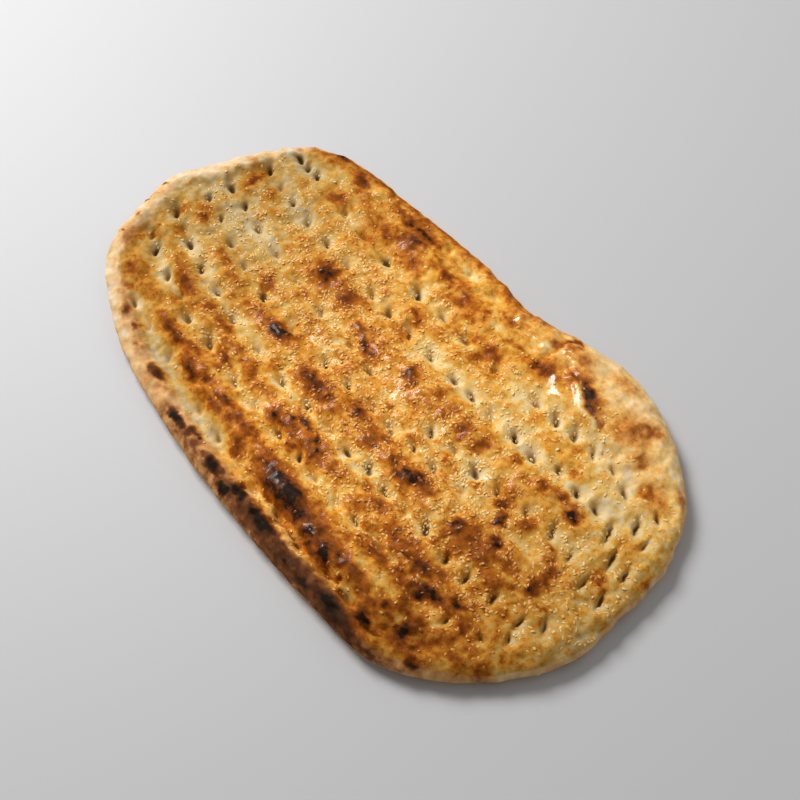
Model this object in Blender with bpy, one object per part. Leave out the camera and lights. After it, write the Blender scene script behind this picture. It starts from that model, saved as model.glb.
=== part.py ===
"""A long oval leavened flatbread with a rounded rim, rows of finger pits and sesame fused to its crust.

Metres, +Z up. The origin is the centre of the flat that it rests on, with the bread's length along X.
"""

import math
import random

import bmesh
import bpy
import numpy as np
from mathutils import Matrix, Vector, noise
from mathutils.bvhtree import BVHTree

MM = 0.001

# Overall size
LENGTH = 545 * MM
WIDTH = 316 * MM

# Edge: the bread is widest at EDGE_HEIGHT, with a short upright band there
EDGE_HEIGHT = 8.5 * MM
EDGE_BAND = 1.5 * MM
TOP_ROLL = 17 * MM
BASE_ROLL = 24 * MM

# The bread rests on a shallow eight-sided flat under its middle; the rest of the base clears the table
FOOT_LENGTH = 450 * MM
FOOT_WIDTH = 224 * MM
FOOT_SIDES = 8
FOOT_DEPTH = 0.4 * MM
FOOT_SUNK = 3 * MM

# Height of the crust along the length, before any relief
HEIGHT_STATIONS = (-270, -200, -60, 120, 220, 270)
HEIGHTS = (12.5, 13.5, 16.5, 17.5, 19.5, 20.5)

# Outline, in millimetres, anticlockwise from the right end; it is scaled to LENGTH and WIDTH
OUTLINE = (
    (272, 10), (264, 70), (236, 114), (207, 136), (174, 151), (145, 158), (113, 156), (84, 150),
    (58, 142), (33, 138), (-4, 141), (-50, 140), (-113, 135), (-185, 127), (-217, 111), (-243, 73),
    (-263, 20), (-272, -3), (-264, -41), (-249, -81), (-230, -104), (-195, -123), (-147, -141),
    (-92, -150), (-28, -156), (56, -157), (132, -154), (181, -148), (213, -129), (238, -104),
    (258, -75), (272, -40),
)

# Finger pits: a row's Y at each station, then the X of its pits, in millimetres
ROW_STATIONS = (-230, -100, 50, 200)
PIT_ROWS = {
    "far_edge": (
        (130, 130, 120, 120),
        (-49, -21, 11),
    ),
    "far": (
        (97, 79, 77, 86),
        (-215, -203, -190, -140, -109, -74, -31, 0, 28, 65, 108, 129, 148, 169, 187, 209, 237),
    ),
    "far_inner": (
        (62, 49, 44, 53),
        (-223, -202, -179, -153, -123, -93, -57, -33, -7, 21, 51, 71, 95, 119, 141, 160, 181, 204, 223),
    ),
    "middle": (
        (24, 7, 0, 14),
        (-227, -203, -175, -142, -107, -69, -27, 1, 75, 99, 123, 145, 169, 195, 216),
    ),
    "near_middle": (
        (3, -23, -21, -10),
        (-231, -206, -177, -150, -113, -71, -27, 1, 29, 53, 76, 99, 126, 170, 192),
    ),
    "near_inner": (
        (-30, -57, -59, -57),
        (-235, -216, -199, -170, -141, -111, -73, -36, -4, 24, 47, 69, 92, 112, 134, 162, 181, 205, 230),
    ),
    "near": (
        (-59, -87, -92, -95),
        (-229, -213, -182, -158, -135, -103, -60, -31, 0, 27, 48, 75, 96, 122, 152, 172, 194),
    ),
    "near_edge": (
        (-101, -120, -135, -119),
        (-177, -150, -114, -57, -28, 29, 57, 84, 116, 137, 159, 195),
    ),
}
# The pits that curve round the right end, by angle about a centre on the long axis
END_PIT_CENTRE = (152, -1)
END_PIT_RADIUS = 105
END_PIT_ANGLES = (33, 18, 3, -23, -38, -49, -56)

# A pit is a long hollow, steeper on its +X side; past PIT_TURN_X the pits lie across the bread
PIT_DEPTH = 6.0 * MM
PIT_HALF_LENGTH = 8.0 * MM
PIT_HALF_WIDTH = 5.2 * MM
PIT_SKEW = 0.3
PIT_SKEW_REACH = 4 * MM
PIT_TURN_X = 150 * MM
PIT_TURN = math.radians(110)
PIT_WANDER = 2 * MM
PIT_DRAW = 3
FADED_PIT_ROWS = {"far_edge": 0.5, "near_edge": 0.7}

# The shallow groove that joins the pits of a row
ROW_GROOVE = 2.2 * MM
ROW_GROOVE_WIDTH = 9 * MM
ROW_GROOVE_FADE = 15 * MM

# Rim on each side of the bread: the height of its crest, and the depth of the groove inside it
RIM_CREST = {"near": 2.8 * MM, "far": 0.8 * MM, "left": 3.0 * MM, "right": 1.8 * MM}
RIM_CREST_INSET = 10 * MM
RIM_CREST_WIDTH = 8 * MM
RIM_GROOVE = {"near": 3.0 * MM, "far": 0.6 * MM, "left": 1.4 * MM, "right": 0.8 * MM}
RIM_GROOVE_INSET = 24 * MM
RIM_GROOVE_WIDTH = 6 * MM
LONG_SIDE_Y = (70 * MM, 120 * MM)
SHORT_SIDE_X = (200 * MM, 245 * MM)

# Large puffs: X, Y, half length, half width, height, in millimetres
PUFFS = (
    (142, 122, 62, 24, 6.0),
    (43, -113, 24, 11, 3.0),
    (-148, 107, 40, 16, 2.0),
    (-58, 109, 34, 14, 2.4),
    (22, 104, 30, 13, 2.0),
    (-18, -109, 40, 10, 1.6),
    (112, -113, 36, 11, 1.8),
    (-118, -101, 40, 10, 1.8),
    (-93, 29, 30, 12, 1.6),
    (-78, -37, 34, 12, 1.8),
    (97, -37, 34, 12, 1.8),
    (2, -41, 30, 11, 1.6),
    (42, 23, 40, 14, 1.8),
    (234, -61, 26, 30, 1.8),
    (152, 27, 40, 12, 1.4),
    (-188, -33, 30, 12, 1.2),
)
# The fold where the far shoulder meets the straight side, from one end to the other
FOLD_START = (77, 120)
FOLD_END = (100, 154)
FOLD_DEPTH = 3.0 * MM
FOLD_WIDTH = 5 * MM

# Slow unevenness of the whole crust
WAVE_SIZE = 55 * MM
WAVE_HEIGHT = 1.6 * MM
RIPPLE_SIZE = 19 * MM
RIPPLE_HEIGHT = 1.3 * MM

# Mesh: RIM_CROWDING towards 1 crowds its rings into the rim, towards 0 spaces them evenly
CUTS_ALONG = 158
CUTS_ACROSS = 92
RIM_CROWDING = 0.8
CRUST_TRIANGLES = 6500

# Sesame fused to the crust
SEED_COUNT = 140
SEED_LENGTH = 3.6 * MM
SEED_BREADTH = 2.3 * MM
SEED_THICKNESS = 1.9 * MM
SEED_TAPER = 0.35
SEED_SPREAD = (0.235, 0.125)
SEED_GAP = 10 * MM
SEED_DRAW = 11

CRUST_COLOUR = (0.62, 0.36, 0.13, 1.0)
CRUST_ROUGHNESS = 0.45


def clear_scene():
    for obj in list(bpy.data.objects):
        bpy.data.objects.remove(obj, do_unlink=True)


def new_collection(name):
    collection = bpy.data.collections.new(name)
    bpy.context.scene.collection.children.link(collection)
    return collection


def smooth_step(low, high, value):
    """0 up to low, 1 from high on, and a smooth slope between."""
    share = np.clip((value - low) / (high - low), 0, 1)
    return share * share * (3 - 2 * share)


def bell(value):
    return np.exp(-value * value)


class Outline:
    """The bread's edge as a smooth closed curve, read by the angle of an ellipse of the same size."""

    def __init__(self):
        points = np.array(OUTLINE, dtype=float)
        middle = (points.max(0) + points.min(0)) / 2
        span = points.max(0) - points.min(0)
        unit = (points - middle) / span * 2
        angles = np.unwrap(np.arctan2(unit[:, 1], unit[:, 0]))
        radii = np.hypot(unit[:, 0], unit[:, 1])
        self.angles = np.concatenate((angles[-2:] - math.tau, angles, angles[:3] + math.tau))
        self.radii = np.concatenate((radii[-2:], radii, radii[:3]))
        self.slopes = np.gradient(self.radii, self.angles)

    def radius(self, angle):
        """A cubic between each two points, in units of the ellipse's own radius."""
        start = self.angles[1]
        angle = np.mod(angle - start, math.tau) + start
        index = np.clip(np.searchsorted(self.angles, angle) - 1, 0, len(self.angles) - 2)
        gap = self.angles[index + 1] - self.angles[index]
        t = (angle - self.angles[index]) / gap
        value_0, value_1 = self.radii[index], self.radii[index + 1]
        slope_0, slope_1 = self.slopes[index] * gap, self.slopes[index + 1] * gap
        return (
            value_0 * (2 * t**3 - 3 * t**2 + 1)
            + slope_0 * (t**3 - 2 * t**2 + t)
            + value_1 * (3 * t**2 - 2 * t**3)
            + slope_1 * (t**3 - t**2)
        )

    def point(self, angle):
        radius = self.radius(angle)
        return LENGTH / 2 * radius * np.cos(angle), WIDTH / 2 * radius * np.sin(angle)

    def reach(self, angle):
        """The distance from the middle to the tangent of the edge at this angle."""
        step = 0.01
        x, y = self.point(angle)
        x_0, y_0 = self.point(angle - step)
        x_1, y_1 = self.point(angle + step)
        run, rise = x_1 - x_0, y_1 - y_0
        return (x * rise - y * run) / np.hypot(run, rise)


def side_weights(x, y):
    """How much each point belongs to each side of the bread."""
    return {
        "near": smooth_step(*LONG_SIDE_Y, -y),
        "far": smooth_step(*LONG_SIDE_Y, y),
        "left": smooth_step(*SHORT_SIDE_X, -x),
        "right": smooth_step(*SHORT_SIDE_X, x),
    }


def rim_relief(x, y, inset):
    """The rolled crest round the edge and the groove inside it, each as strong as its side of the bread."""
    crest = np.zeros_like(x)
    groove = np.zeros_like(x)
    for side, weight in side_weights(x, y).items():
        crest = np.maximum(crest, weight * RIM_CREST[side])
        groove = np.maximum(groove, weight * RIM_GROOVE[side])
    crest = crest * bell((inset - RIM_CREST_INSET) / RIM_CREST_WIDTH)
    groove = groove * bell((inset - RIM_GROOVE_INSET) / RIM_GROOVE_WIDTH)
    return crest - groove


def row_curve(heights):
    """The cubic through a row's four stations, as a function of X in metres."""
    cubic = np.polyfit(np.array(ROW_STATIONS) * MM, np.array(heights) * MM, 3)
    return lambda x: np.polyval(cubic, x)


def pit_places():
    """Each pit as X, Y and a share of the full depth."""
    draw = random.Random(PIT_DRAW)
    places = []
    for name, (heights, positions) in PIT_ROWS.items():
        curve = row_curve(heights)
        for position in positions:
            x = position * MM
            y = float(curve(x)) + draw.uniform(-PIT_WANDER, PIT_WANDER)
            places.append((x, y, FADED_PIT_ROWS.get(name, 1.0) * draw.uniform(0.75, 1.15)))
    for angle in END_PIT_ANGLES:
        x = (END_PIT_CENTRE[0] + END_PIT_RADIUS * math.cos(math.radians(angle))) * MM
        y = (END_PIT_CENTRE[1] + END_PIT_RADIUS * math.sin(math.radians(angle))) * MM
        places.append((x, y, draw.uniform(0.75, 1.0)))
    return places


def pit_relief(x, y):
    """How far the finger pits sink."""
    sink = np.zeros_like(x)
    for pit_x, pit_y, share in pit_places():
        turn = PIT_TURN if pit_x > PIT_TURN_X else 0.0
        along = (x - pit_x) * math.cos(turn) + (y - pit_y) * math.sin(turn)
        across = (y - pit_y) * math.cos(turn) - (x - pit_x) * math.sin(turn)
        distance = np.hypot(along / PIT_HALF_LENGTH, across / PIT_HALF_WIDTH)
        distance = distance * (1 + PIT_SKEW * np.tanh((x - pit_x) / PIT_SKEW_REACH))
        sink = np.maximum(sink, share * PIT_DEPTH * np.exp(-(distance**2.4)))
    return sink


def row_grooves(x, y):
    """The shallow valley that joins the pits of a row."""
    sink = np.zeros_like(x)
    for name, (heights, positions) in PIT_ROWS.items():
        across = (y - row_curve(heights)(x)) / ROW_GROOVE_WIDTH
        low, high = positions[0] * MM, positions[-1] * MM
        ends = smooth_step(low - ROW_GROOVE_FADE, low, x) * smooth_step(-high - ROW_GROOVE_FADE, -high, -x)
        sink = np.maximum(sink, ROW_GROOVE * FADED_PIT_ROWS.get(name, 1.0) * bell(across) * ends)
    return sink


def puff_relief(x, y):
    rise = np.zeros_like(x)
    for centre_x, centre_y, half_length, half_width, height in PUFFS:
        along = (x - centre_x * MM) / (half_length * MM)
        across = (y - centre_y * MM) / (half_width * MM)
        rise = rise + height * MM * np.exp(-((along**2 + across**2) ** 1.5))
    return rise


def fold_relief(x, y):
    """The crease of the shoulder: a narrow groove along a short straight line."""
    start, end = Vector(FOLD_START) * MM, Vector(FOLD_END) * MM
    run = end - start
    share = np.clip(((x - start.x) * run.x + (y - start.y) * run.y) / run.length_squared, 0, 1)
    distance = np.hypot(x - start.x - share * run.x, y - start.y - share * run.y)
    return FOLD_DEPTH * bell(distance / FOLD_WIDTH)


def wave_relief(x, y):
    """Slow, uneven swelling of the dough, with smaller ripples on it."""
    rise = np.empty_like(x)
    for index, (point_x, point_y) in enumerate(zip(x.flat, y.flat)):
        wave = noise.noise(Vector((point_x / WAVE_SIZE, point_y / WAVE_SIZE, 1.7)))
        ripple = noise.noise(Vector((point_x / RIPPLE_SIZE, point_y / RIPPLE_SIZE, 8.3)))
        rise.flat[index] = WAVE_HEIGHT * wave + RIPPLE_HEIGHT * ripple
    return rise


def crust_height(x, y, inset):
    """The height of the top crust, before it rolls down into the edge."""
    height = np.interp(x / MM, HEIGHT_STATIONS, HEIGHTS) * MM
    height = height + rim_relief(x, y, inset) + puff_relief(x, y) + wave_relief(x, y)
    return height - fold_relief(x, y) - row_grooves(x, y) - pit_relief(x, y)


def quarter_round(share):
    """0 at the edge, 1 where the roll ends, and level there."""
    left = 1 - np.clip(share, 0, 1)
    return np.sqrt(1 - left * left)


def shape_bread(bm):
    """Moves the vertices of a 2 m cube: its upper face becomes the crust, its lower face the underside."""
    cube = np.array([vertex.co for vertex in bm.verts])
    across_x = cube[:, 0] * np.sqrt(1 - cube[:, 1] ** 2 / 2)
    across_y = cube[:, 1] * np.sqrt(1 - cube[:, 0] ** 2 / 2)
    angle = np.arctan2(across_y, across_x)
    ring = np.hypot(across_x, across_y)
    bend = RIM_CROWDING * math.pi / 2
    ring = np.sin(ring * bend) / math.sin(bend)

    outline = Outline()
    edge_x, edge_y = outline.point(angle)
    x, y = edge_x * ring, edge_y * ring
    inset = (1 - ring) * outline.reach(angle)

    top_edge = EDGE_HEIGHT + EDGE_BAND / 2
    base_edge = EDGE_HEIGHT - EDGE_BAND / 2
    top = top_edge + (crust_height(x, y, inset) - top_edge) * quarter_round(inset / TOP_ROLL)
    base = FOOT_DEPTH + (base_edge - FOOT_DEPTH) * (1 - quarter_round(inset / BASE_ROLL))
    z = np.where(cube[:, 2] > 0, top, base)

    x = x - (x.max() + x.min()) / 2
    y = y - (y.max() + y.min()) / 2
    for vertex, place in zip(bm.verts, zip(x, y, z)):
        vertex.co = place


def cut_along(bm, axis, cuts):
    """Cuts every edge of the box that runs along one axis into equal lengths."""
    def runs_along(edge):
        run = edge.verts[1].co - edge.verts[0].co
        return abs(run[axis]) > 0.999 * run.length

    edges = [edge for edge in bm.edges if runs_along(edge)]
    bmesh.ops.subdivide_edges(bm, edges=edges, cuts=cuts, use_grid_fill=True)


def apply_modifiers(obj):
    bpy.ops.object.select_all(action="DESELECT")
    bpy.context.view_layer.objects.active = obj
    for modifier in list(obj.modifiers):
        bpy.ops.object.modifier_apply(modifier=modifier.name)


def make_bread(collection):
    bpy.ops.mesh.primitive_cube_add(size=2)
    bread = bpy.context.active_object
    bread.name = bread.data.name = "naan"
    for owner in list(bread.users_collection):
        owner.objects.unlink(bread)
    collection.objects.link(bread)

    bm = bmesh.new()
    bm.from_mesh(bread.data)
    cut_along(bm, 0, CUTS_ALONG)
    cut_along(bm, 1, CUTS_ACROSS)
    shape_bread(bm)
    bmesh.ops.triangulate(bm, faces=bm.faces)
    triangles = len(bm.faces)
    bm.to_mesh(bread.data)
    bm.free()

    thin = bread.modifiers.new("Fewer triangles", "DECIMATE")
    thin.ratio = CRUST_TRIANGLES / triangles
    apply_modifiers(bread)
    return bread


def seed_places(bread):
    """Points on the crust, spread evenly and denser towards the middle, each with the crust's normal."""
    draw = random.Random(SEED_DRAW)
    tree = BVHTree.FromObject(bread, bpy.context.evaluated_depsgraph_get())
    places = []
    while len(places) < SEED_COUNT:
        x = draw.uniform(-SEED_SPREAD[0], SEED_SPREAD[0])
        y = draw.uniform(-SEED_SPREAD[1], SEED_SPREAD[1])
        rim = math.hypot(x / SEED_SPREAD[0], y / SEED_SPREAD[1])
        if draw.random() < rim**3:
            continue
        point, normal, _, _ = tree.ray_cast(Vector((x, y, WIDTH)), Vector((0, 0, -1)))
        if all((point - other).length > SEED_GAP for other, _ in places):
            places.append((point, normal))
    return places


def make_seeds(bread, collection):
    """Flat pointed grains, half sunk in the crust and turned every way."""
    draw = random.Random(SEED_DRAW + 1)
    for index, (point, normal) in enumerate(seed_places(bread)):
        bm = bmesh.new()
        bmesh.ops.create_icosphere(bm, subdivisions=1, radius=1)
        for vertex in bm.verts:
            vertex.co.y *= 1 - SEED_TAPER * vertex.co.x
        size = Matrix.Diagonal((SEED_LENGTH / 2, SEED_BREADTH / 2, SEED_THICKNESS / 2, 1))
        spin = Matrix.Rotation(draw.uniform(0, math.tau), 4, "Z")
        lean = normal.to_track_quat("Z", "Y").to_matrix().to_4x4()
        bmesh.ops.transform(bm, matrix=Matrix.Translation(point) @ lean @ spin @ size, verts=bm.verts)
        mesh = bpy.data.meshes.new(f"seed_{index}")
        bm.to_mesh(mesh)
        bm.free()
        collection.objects.link(bpy.data.objects.new(f"seed_{index}", mesh))


def make_foot(collection):
    """The flat under the middle, as a low prism that reaches up into the dough."""
    bm = bmesh.new()
    height = FOOT_DEPTH + FOOT_SUNK
    bmesh.ops.create_cone(
        bm, cap_ends=True, segments=FOOT_SIDES, radius1=1, radius2=1, depth=height,
        matrix=Matrix.Diagonal((FOOT_LENGTH / 2, FOOT_WIDTH / 2, 1, 1))
        @ Matrix.Translation((0, 0, height / 2))
        @ Matrix.Rotation(math.pi / FOOT_SIDES, 4, "Z"),
    )
    mesh = bpy.data.meshes.new("foot")
    bm.to_mesh(mesh)
    bm.free()
    collection.objects.link(bpy.data.objects.new("foot", mesh))


def fuse(bread, collection):
    union = bread.modifiers.new("Fused on", "BOOLEAN")
    union.operation = "UNION"
    union.operand_type = "COLLECTION"
    union.collection = collection
    union.solver = "EXACT"
    apply_modifiers(bread)
    for piece in list(collection.objects):
        bpy.data.meshes.remove(piece.data)
    bpy.data.collections.remove(collection)


def paint(bread):
    material = bpy.data.materials.new("crust")
    material.use_nodes = True
    shader = material.node_tree.nodes["Principled BSDF"]
    shader.inputs["Base Color"].default_value = CRUST_COLOUR
    shader.inputs["Roughness"].default_value = CRUST_ROUGHNESS
    shader.inputs["Metallic"].default_value = 0.0
    bread.data.materials.clear()
    bread.data.materials.append(material)


def main():
    clear_scene()
    bread = make_bread(new_collection("afghan_naan"))
    fused = new_collection("fused_on")
    make_seeds(bread, fused)
    make_foot(fused)
    fuse(bread, fused)
    paint(bread)


main()
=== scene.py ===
"""The looks of a long oval leavened flatbread: its crust, and the sesame that lies on it."""

import math
import random

import bpy
import numpy as np
from mathutils import Matrix, Vector, noise
from mathutils.bvhtree import BVHTree


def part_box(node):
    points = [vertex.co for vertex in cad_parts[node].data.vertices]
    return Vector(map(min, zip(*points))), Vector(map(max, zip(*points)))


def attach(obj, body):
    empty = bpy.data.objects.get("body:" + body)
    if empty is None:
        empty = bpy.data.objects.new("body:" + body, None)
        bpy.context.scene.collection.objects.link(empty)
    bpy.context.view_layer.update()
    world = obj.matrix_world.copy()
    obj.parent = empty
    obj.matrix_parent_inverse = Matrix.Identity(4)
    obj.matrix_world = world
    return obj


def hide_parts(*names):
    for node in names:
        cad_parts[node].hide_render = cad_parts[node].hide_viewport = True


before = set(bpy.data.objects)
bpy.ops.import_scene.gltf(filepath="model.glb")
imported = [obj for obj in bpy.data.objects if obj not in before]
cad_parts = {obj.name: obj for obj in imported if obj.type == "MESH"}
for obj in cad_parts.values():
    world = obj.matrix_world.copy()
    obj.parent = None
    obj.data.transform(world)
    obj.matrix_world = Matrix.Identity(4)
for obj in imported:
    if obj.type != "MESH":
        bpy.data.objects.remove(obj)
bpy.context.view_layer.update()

MM = 0.001

# ---------------------------------------------------------------- the loaf's form, as in the solid

EDGE_HEIGHT = 8.5 * MM
EDGE_BAND = 1.5 * MM
TOP_ROLL = 17 * MM
END_ROLL = 5 * MM
END_ROLL_Y = (110 * MM, 60 * MM)
BASE_ROLL = 24 * MM
BASE_CLEARANCE = 0.4 * MM

HEIGHT_STATIONS = (-270, -200, -60, 120, 220, 270)
HEIGHTS = (12.5, 13.5, 16.5, 17.5, 19.5, 20.5)

OUTLINE = (
    (272, 10), (264, 70), (236, 114), (207, 136), (174, 151), (145, 158), (113, 156), (84, 150),
    (58, 142), (33, 138), (-4, 141), (-50, 140), (-113, 135), (-185, 127), (-217, 111), (-243, 73),
    (-263, 20), (-272, -3), (-264, -41), (-249, -81), (-230, -104), (-195, -123), (-147, -141),
    (-92, -150), (-28, -156), (56, -157), (132, -154), (181, -148), (213, -129), (238, -104),
    (258, -75), (272, -40),
)

ROW_STATIONS = (-230, -100, 50, 200)
PIT_ROWS = {
    "far_edge": (
        (130, 130, 120, 120),
        (-49, -21, 11),
    ),
    "far": (
        (97, 79, 77, 86),
        (-215, -203, -190, -140, -109, -74, -31, 0, 28, 65, 108, 129, 148, 169, 187, 209, 237),
    ),
    "far_inner": (
        (62, 49, 44, 53),
        (-223, -202, -179, -153, -123, -93, -57, -33, -7, 21, 51, 71, 95, 119, 141, 160, 181, 204, 223),
    ),
    "middle": (
        (24, 7, 0, 14),
        (-227, -203, -175, -142, -107, -69, -27, 1, 75, 99, 123, 145, 169, 195, 216),
    ),
    "near_middle": (
        (3, -23, -21, -10),
        (-231, -206, -177, -150, -113, -71, -27, 1, 29, 53, 76, 99, 126, 170, 192),
    ),
    "near_inner": (
        (-30, -57, -59, -57),
        (-235, -216, -199, -170, -141, -111, -73, -36, -4, 24, 47, 69, 92, 112, 134, 162, 181, 205, 230),
    ),
    "near": (
        (-59, -87, -92, -95),
        (-229, -213, -182, -158, -135, -103, -60, -31, 0, 27, 48, 75, 96, 122, 152, 172, 194),
    ),
    "near_edge": (
        (-101, -120, -135, -119),
        (-177, -150, -114, -57, -28, 29, 57, 84, 116, 137, 159, 195),
    ),
}
END_PIT_CENTRE = (152, -1)
END_PIT_RADIUS = 105
END_PIT_ANGLES = (33, 18, 3, -23, -38, -49, -56)
PIT_WANDER = 2 * MM
PIT_DRAW = 3
PIT_STRENGTHS = (0.75, 1.15)
END_PIT_STRENGTHS = (0.75, 1.0)
FADED_PIT_ROWS = {"far_edge": 0.5, "near_edge": 0.7}

# The slow swelling of the dough: the size and height of its hills, and their slice of the noise
WAVE_SIZE = 55 * MM
WAVE_HEIGHT = 1.6 * MM
WAVE_SLICE = 1.7
RIPPLE_SIZE = 19 * MM
RIPPLE_HEIGHT = 1.3 * MM
RIPPLE_SLICE = 8.3

ROW_GROOVE = 2.5 * MM
ROW_GROOVE_WIDTH = 9 * MM
ROW_GROOVE_FADE = 15 * MM

RIM_CREST = {"near": 2.8 * MM, "far": 0.8 * MM, "left": 3.0 * MM, "right": 1.8 * MM}
RIM_CREST_INSET = 10 * MM
RIM_CREST_WIDTH = 8 * MM
RIM_GROOVE = {"near": 3.0 * MM, "far": 0.6 * MM, "left": 1.4 * MM, "right": 0.8 * MM}
RIM_GROOVE_INSET = 24 * MM
RIM_GROOVE_WIDTH = 6 * MM
LONG_SIDE_Y = (70 * MM, 120 * MM)
SHORT_SIDE_X = (200 * MM, 245 * MM)

# Puffed bands of the top: X, Y, half length, half width and height in millimetres
PUFF_STEEPNESS = 3.0
PUFFS = (
    (142, 122, 62, 24, 6.0), (43, -113, 24, 11, 3.0), (-148, 107, 40, 16, 2.0), (-58, 109, 34, 14, 2.4),
    (22, 104, 30, 13, 2.0), (-18, -109, 40, 10, 1.6), (112, -113, 36, 11, 1.8),
    (-118, -101, 40, 10, 1.8), (-93, 29, 30, 12, 1.6), (-78, -37, 34, 12, 1.8), (97, -37, 34, 12, 1.8),
    (2, -41, 30, 11, 1.6), (42, 23, 40, 14, 1.8), (234, -61, 26, 30, 1.8), (152, 27, 40, 12, 1.4),
    (-188, -33, 30, 12, 1.2),
)

# ---------------------------------------------------------------- the crust's finer relief

# A pit is a wide soft dimple with a narrow slot in it; the slots turn with their place in the loaf
DIMPLE_DEPTH = 2.2 * MM
DIMPLE_HALF_LENGTH = 7.2 * MM
DIMPLE_HALF_WIDTH = 6.4 * MM
DIMPLE_STEEPNESS = 2.4
SLOT_DEPTH = 5.6 * MM
SLOT_HALF_LENGTH = 5.2 * MM
SLOT_HALF_WIDTH = 2.4 * MM
SLOT_STEEPNESS = 2.2
SLOT_SHIFT = -1.2 * MM
PIT_SIZE_STATIONS = (-260, -150, 60, 170, 260)
PIT_SIZES = (0.92, 0.97, 1.0, 1.12, 1.22)
PIT_SIZE_SPREAD = 0.2
PIT_SKEW = 0.32
PIT_SKEW_REACH = 4 * MM
PIT_TURN_STATIONS = (-240, -150, 120, 200, 260)
PIT_TURNS = (-38, -22, -18, -58, -86)
PIT_TURN_SPREAD = 26
# How their shade falls off, and how dark the slots are painted: a painted shade in them
DIMPLE_SHADE_STEEPNESS = 2.6
DIMPLE_SHADE_SPREAD = 0.92
SLOT_SHADE_STEEPNESS = 2.0
PIT_DARKNESS = (0.55, 1.0)

# The pits of the thick end were drawn out into grooves, too narrow for the solid, in its shallower
# dimples: X, Y, half length, half width in millimetres, turn in degrees and a share of the full depth
END_GROOVES = (
    (236, 81, 5, 2.0, -30, 1.0), (245, 57, 5.5, 1.8, -85, 0.8), (252, 30, 6.5, 1.8, -75, 1.0),
    (254, 4, 7.5, 2.0, -70, 1.0), (206, 77, 6, 2.5, -25, 1.1), (231, 64, 8, 2.2, -60, 1.2),
    (221, 45, 9.5, 2.0, -65, 1.1), (237, 32, 10, 1.8, -70, 1.0), (237, 3, 6.5, 1.8, -85, 0.9),
    (201, 52, 5, 2.5, -25, 1.1), (182, 51, 4.5, 2.5, -20, 1.1), (194, 14, 6.5, 2.0, -60, 1.0),
    (216, 10, 6, 1.8, -70, 0.8), (229, -51, 7, 2.0, -85, 1.0), (243, -40, 6.5, 2.0, -55, 0.9),
    (233, -65, 4.5, 2.0, -55, 0.9), (221, -80, 4, 2.0, 15, 0.9), (204, -53, 6.5, 2.5, -80, 1.1),
    (180, -58, 6.5, 2.2, -80, 1.1), (159, -58, 6, 2.8, -65, 1.3), (195, -89, 4.5, 2.2, -100, 0.9),
    (160, 54, 5, 2.5, -15, 1.2), (186, 85, 4.5, 2.0, -25, 0.9), (167, 83, 5, 2.0, -45, 1.0),
    (170, 11, 5, 2.0, -30, 1.0),
)
END_DIMPLE_LOSS = 0.5
GROOVE_DEPTH = 4.6 * MM
# The grooves' slots are painted dark as shade too
GROOVE_DARK = 0.72
FLANK_DEPTH = 2.0 * MM
FLANK_SHIFT = 2.4 * MM
FLANK_LENGTH = 1.2
FLANK_WIDTH = 2.6
FLANK_SHADE = 0.8
LIP_HEIGHT = 0.8 * MM
LIP_PLACE = 5.0 * MM
LIP_WIDTH = 1.5 * MM

# Smaller swellings of the skin, which catch the light, in the terms of the puffs
SKIN_PUFFS = (
    (134, 100, 16, 18, 2.6), (101, 135, 15, 10, 3.2), (48, -118, 15, 7, 1.6), (28, 101, 14, 8, 1.4),
    (150, 96, 16, 8, 1.6), (-90, -110, 14, 5, 1.2), (-76, -35, 13, 7, 0.5), (-20, -44, 18, 6, 1.2),
    (-189, -60, 14, 10, 3.2), (-177, -31, 13, 11, 3.2), (-208, -89, 13, 8, 2.6),
    (-146, -35, 13, 9, 1.8), (-214, -20, 11, 9, 1.8), (-160, 18, 15, 9, 1.4), (-128, -78, 14, 8, 1.6),
    (101, -127, 17, 7, 1.8), (124, -122, 12, 7, 1.6),
)
# Creases of the shoulder blister and the near rim: a run of points each, with depth and width in millimetres
CREASES = (
    (((88, 146), (80, 136), (79, 126), (81, 112), (83, 102)), 3.0, 3.6),
    (((98, 121), (112, 117), (124, 113), (136, 106), (150, 102), (160, 100)), 1.6, 2.6),
    (((78, 112), (92, 126), (98, 127)), 1.2, 2.5),
    (((20, -138), (21, -146), (24, -153)), 1.2, 1.4),
    (((34, -129), (45, -130), (52, -132), (63, -134), (76, -136), (88, -136)), 3.0, 1.7),
    (((107, -132), (113, -132), (122, -129)), 3.0, 1.8),
    (((130, -134), (138, -134), (144, -132)), 3.0, 2.0),
    (((160, -133), (167, -135), (173, -133)), 3.0, 2.2),
)
# The pale line where the rolled rim meets the top, a run of points; its paleness is partly the dough's own
# and partly painted light on the rim's lit inner slope
PALE_SEAM = (
    (10, -135), (24, -136), (38, -133), (50, -135), (60, -137), (75, -139), (90, -139), (102, -137),
    (114, -136), (128, -132), (142, -129), (156, -128), (168, -126),
)
# The bright fold of the shoulder blister; its paleness is partly a painted highlight
PALE_FOLD = (
    (117, 112), (123, 108), (129, 104), (133, 99), (142, 98), (148, 99), (153, 96), (160, 96),
    (165, 93), (169, 88),
)
# Thin raised folds of glazed skin, in the terms of the creases
RIDGES = (
    (PALE_SEAM, 1.2, 2.6),
    (PALE_FOLD, 1.8, 2.2),
    (((86, 91), (94, 91), (101, 95)), 1.0, 1.5),
    (((63, 120), (71, 120), (78, 117)), 0.9, 1.5),
    (((103, 103), (112, 97), (124, 95)), 1.1, 3.4),
    (((88, 130), (98, 130), (106, 131)), 1.0, 2.4),
)

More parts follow.
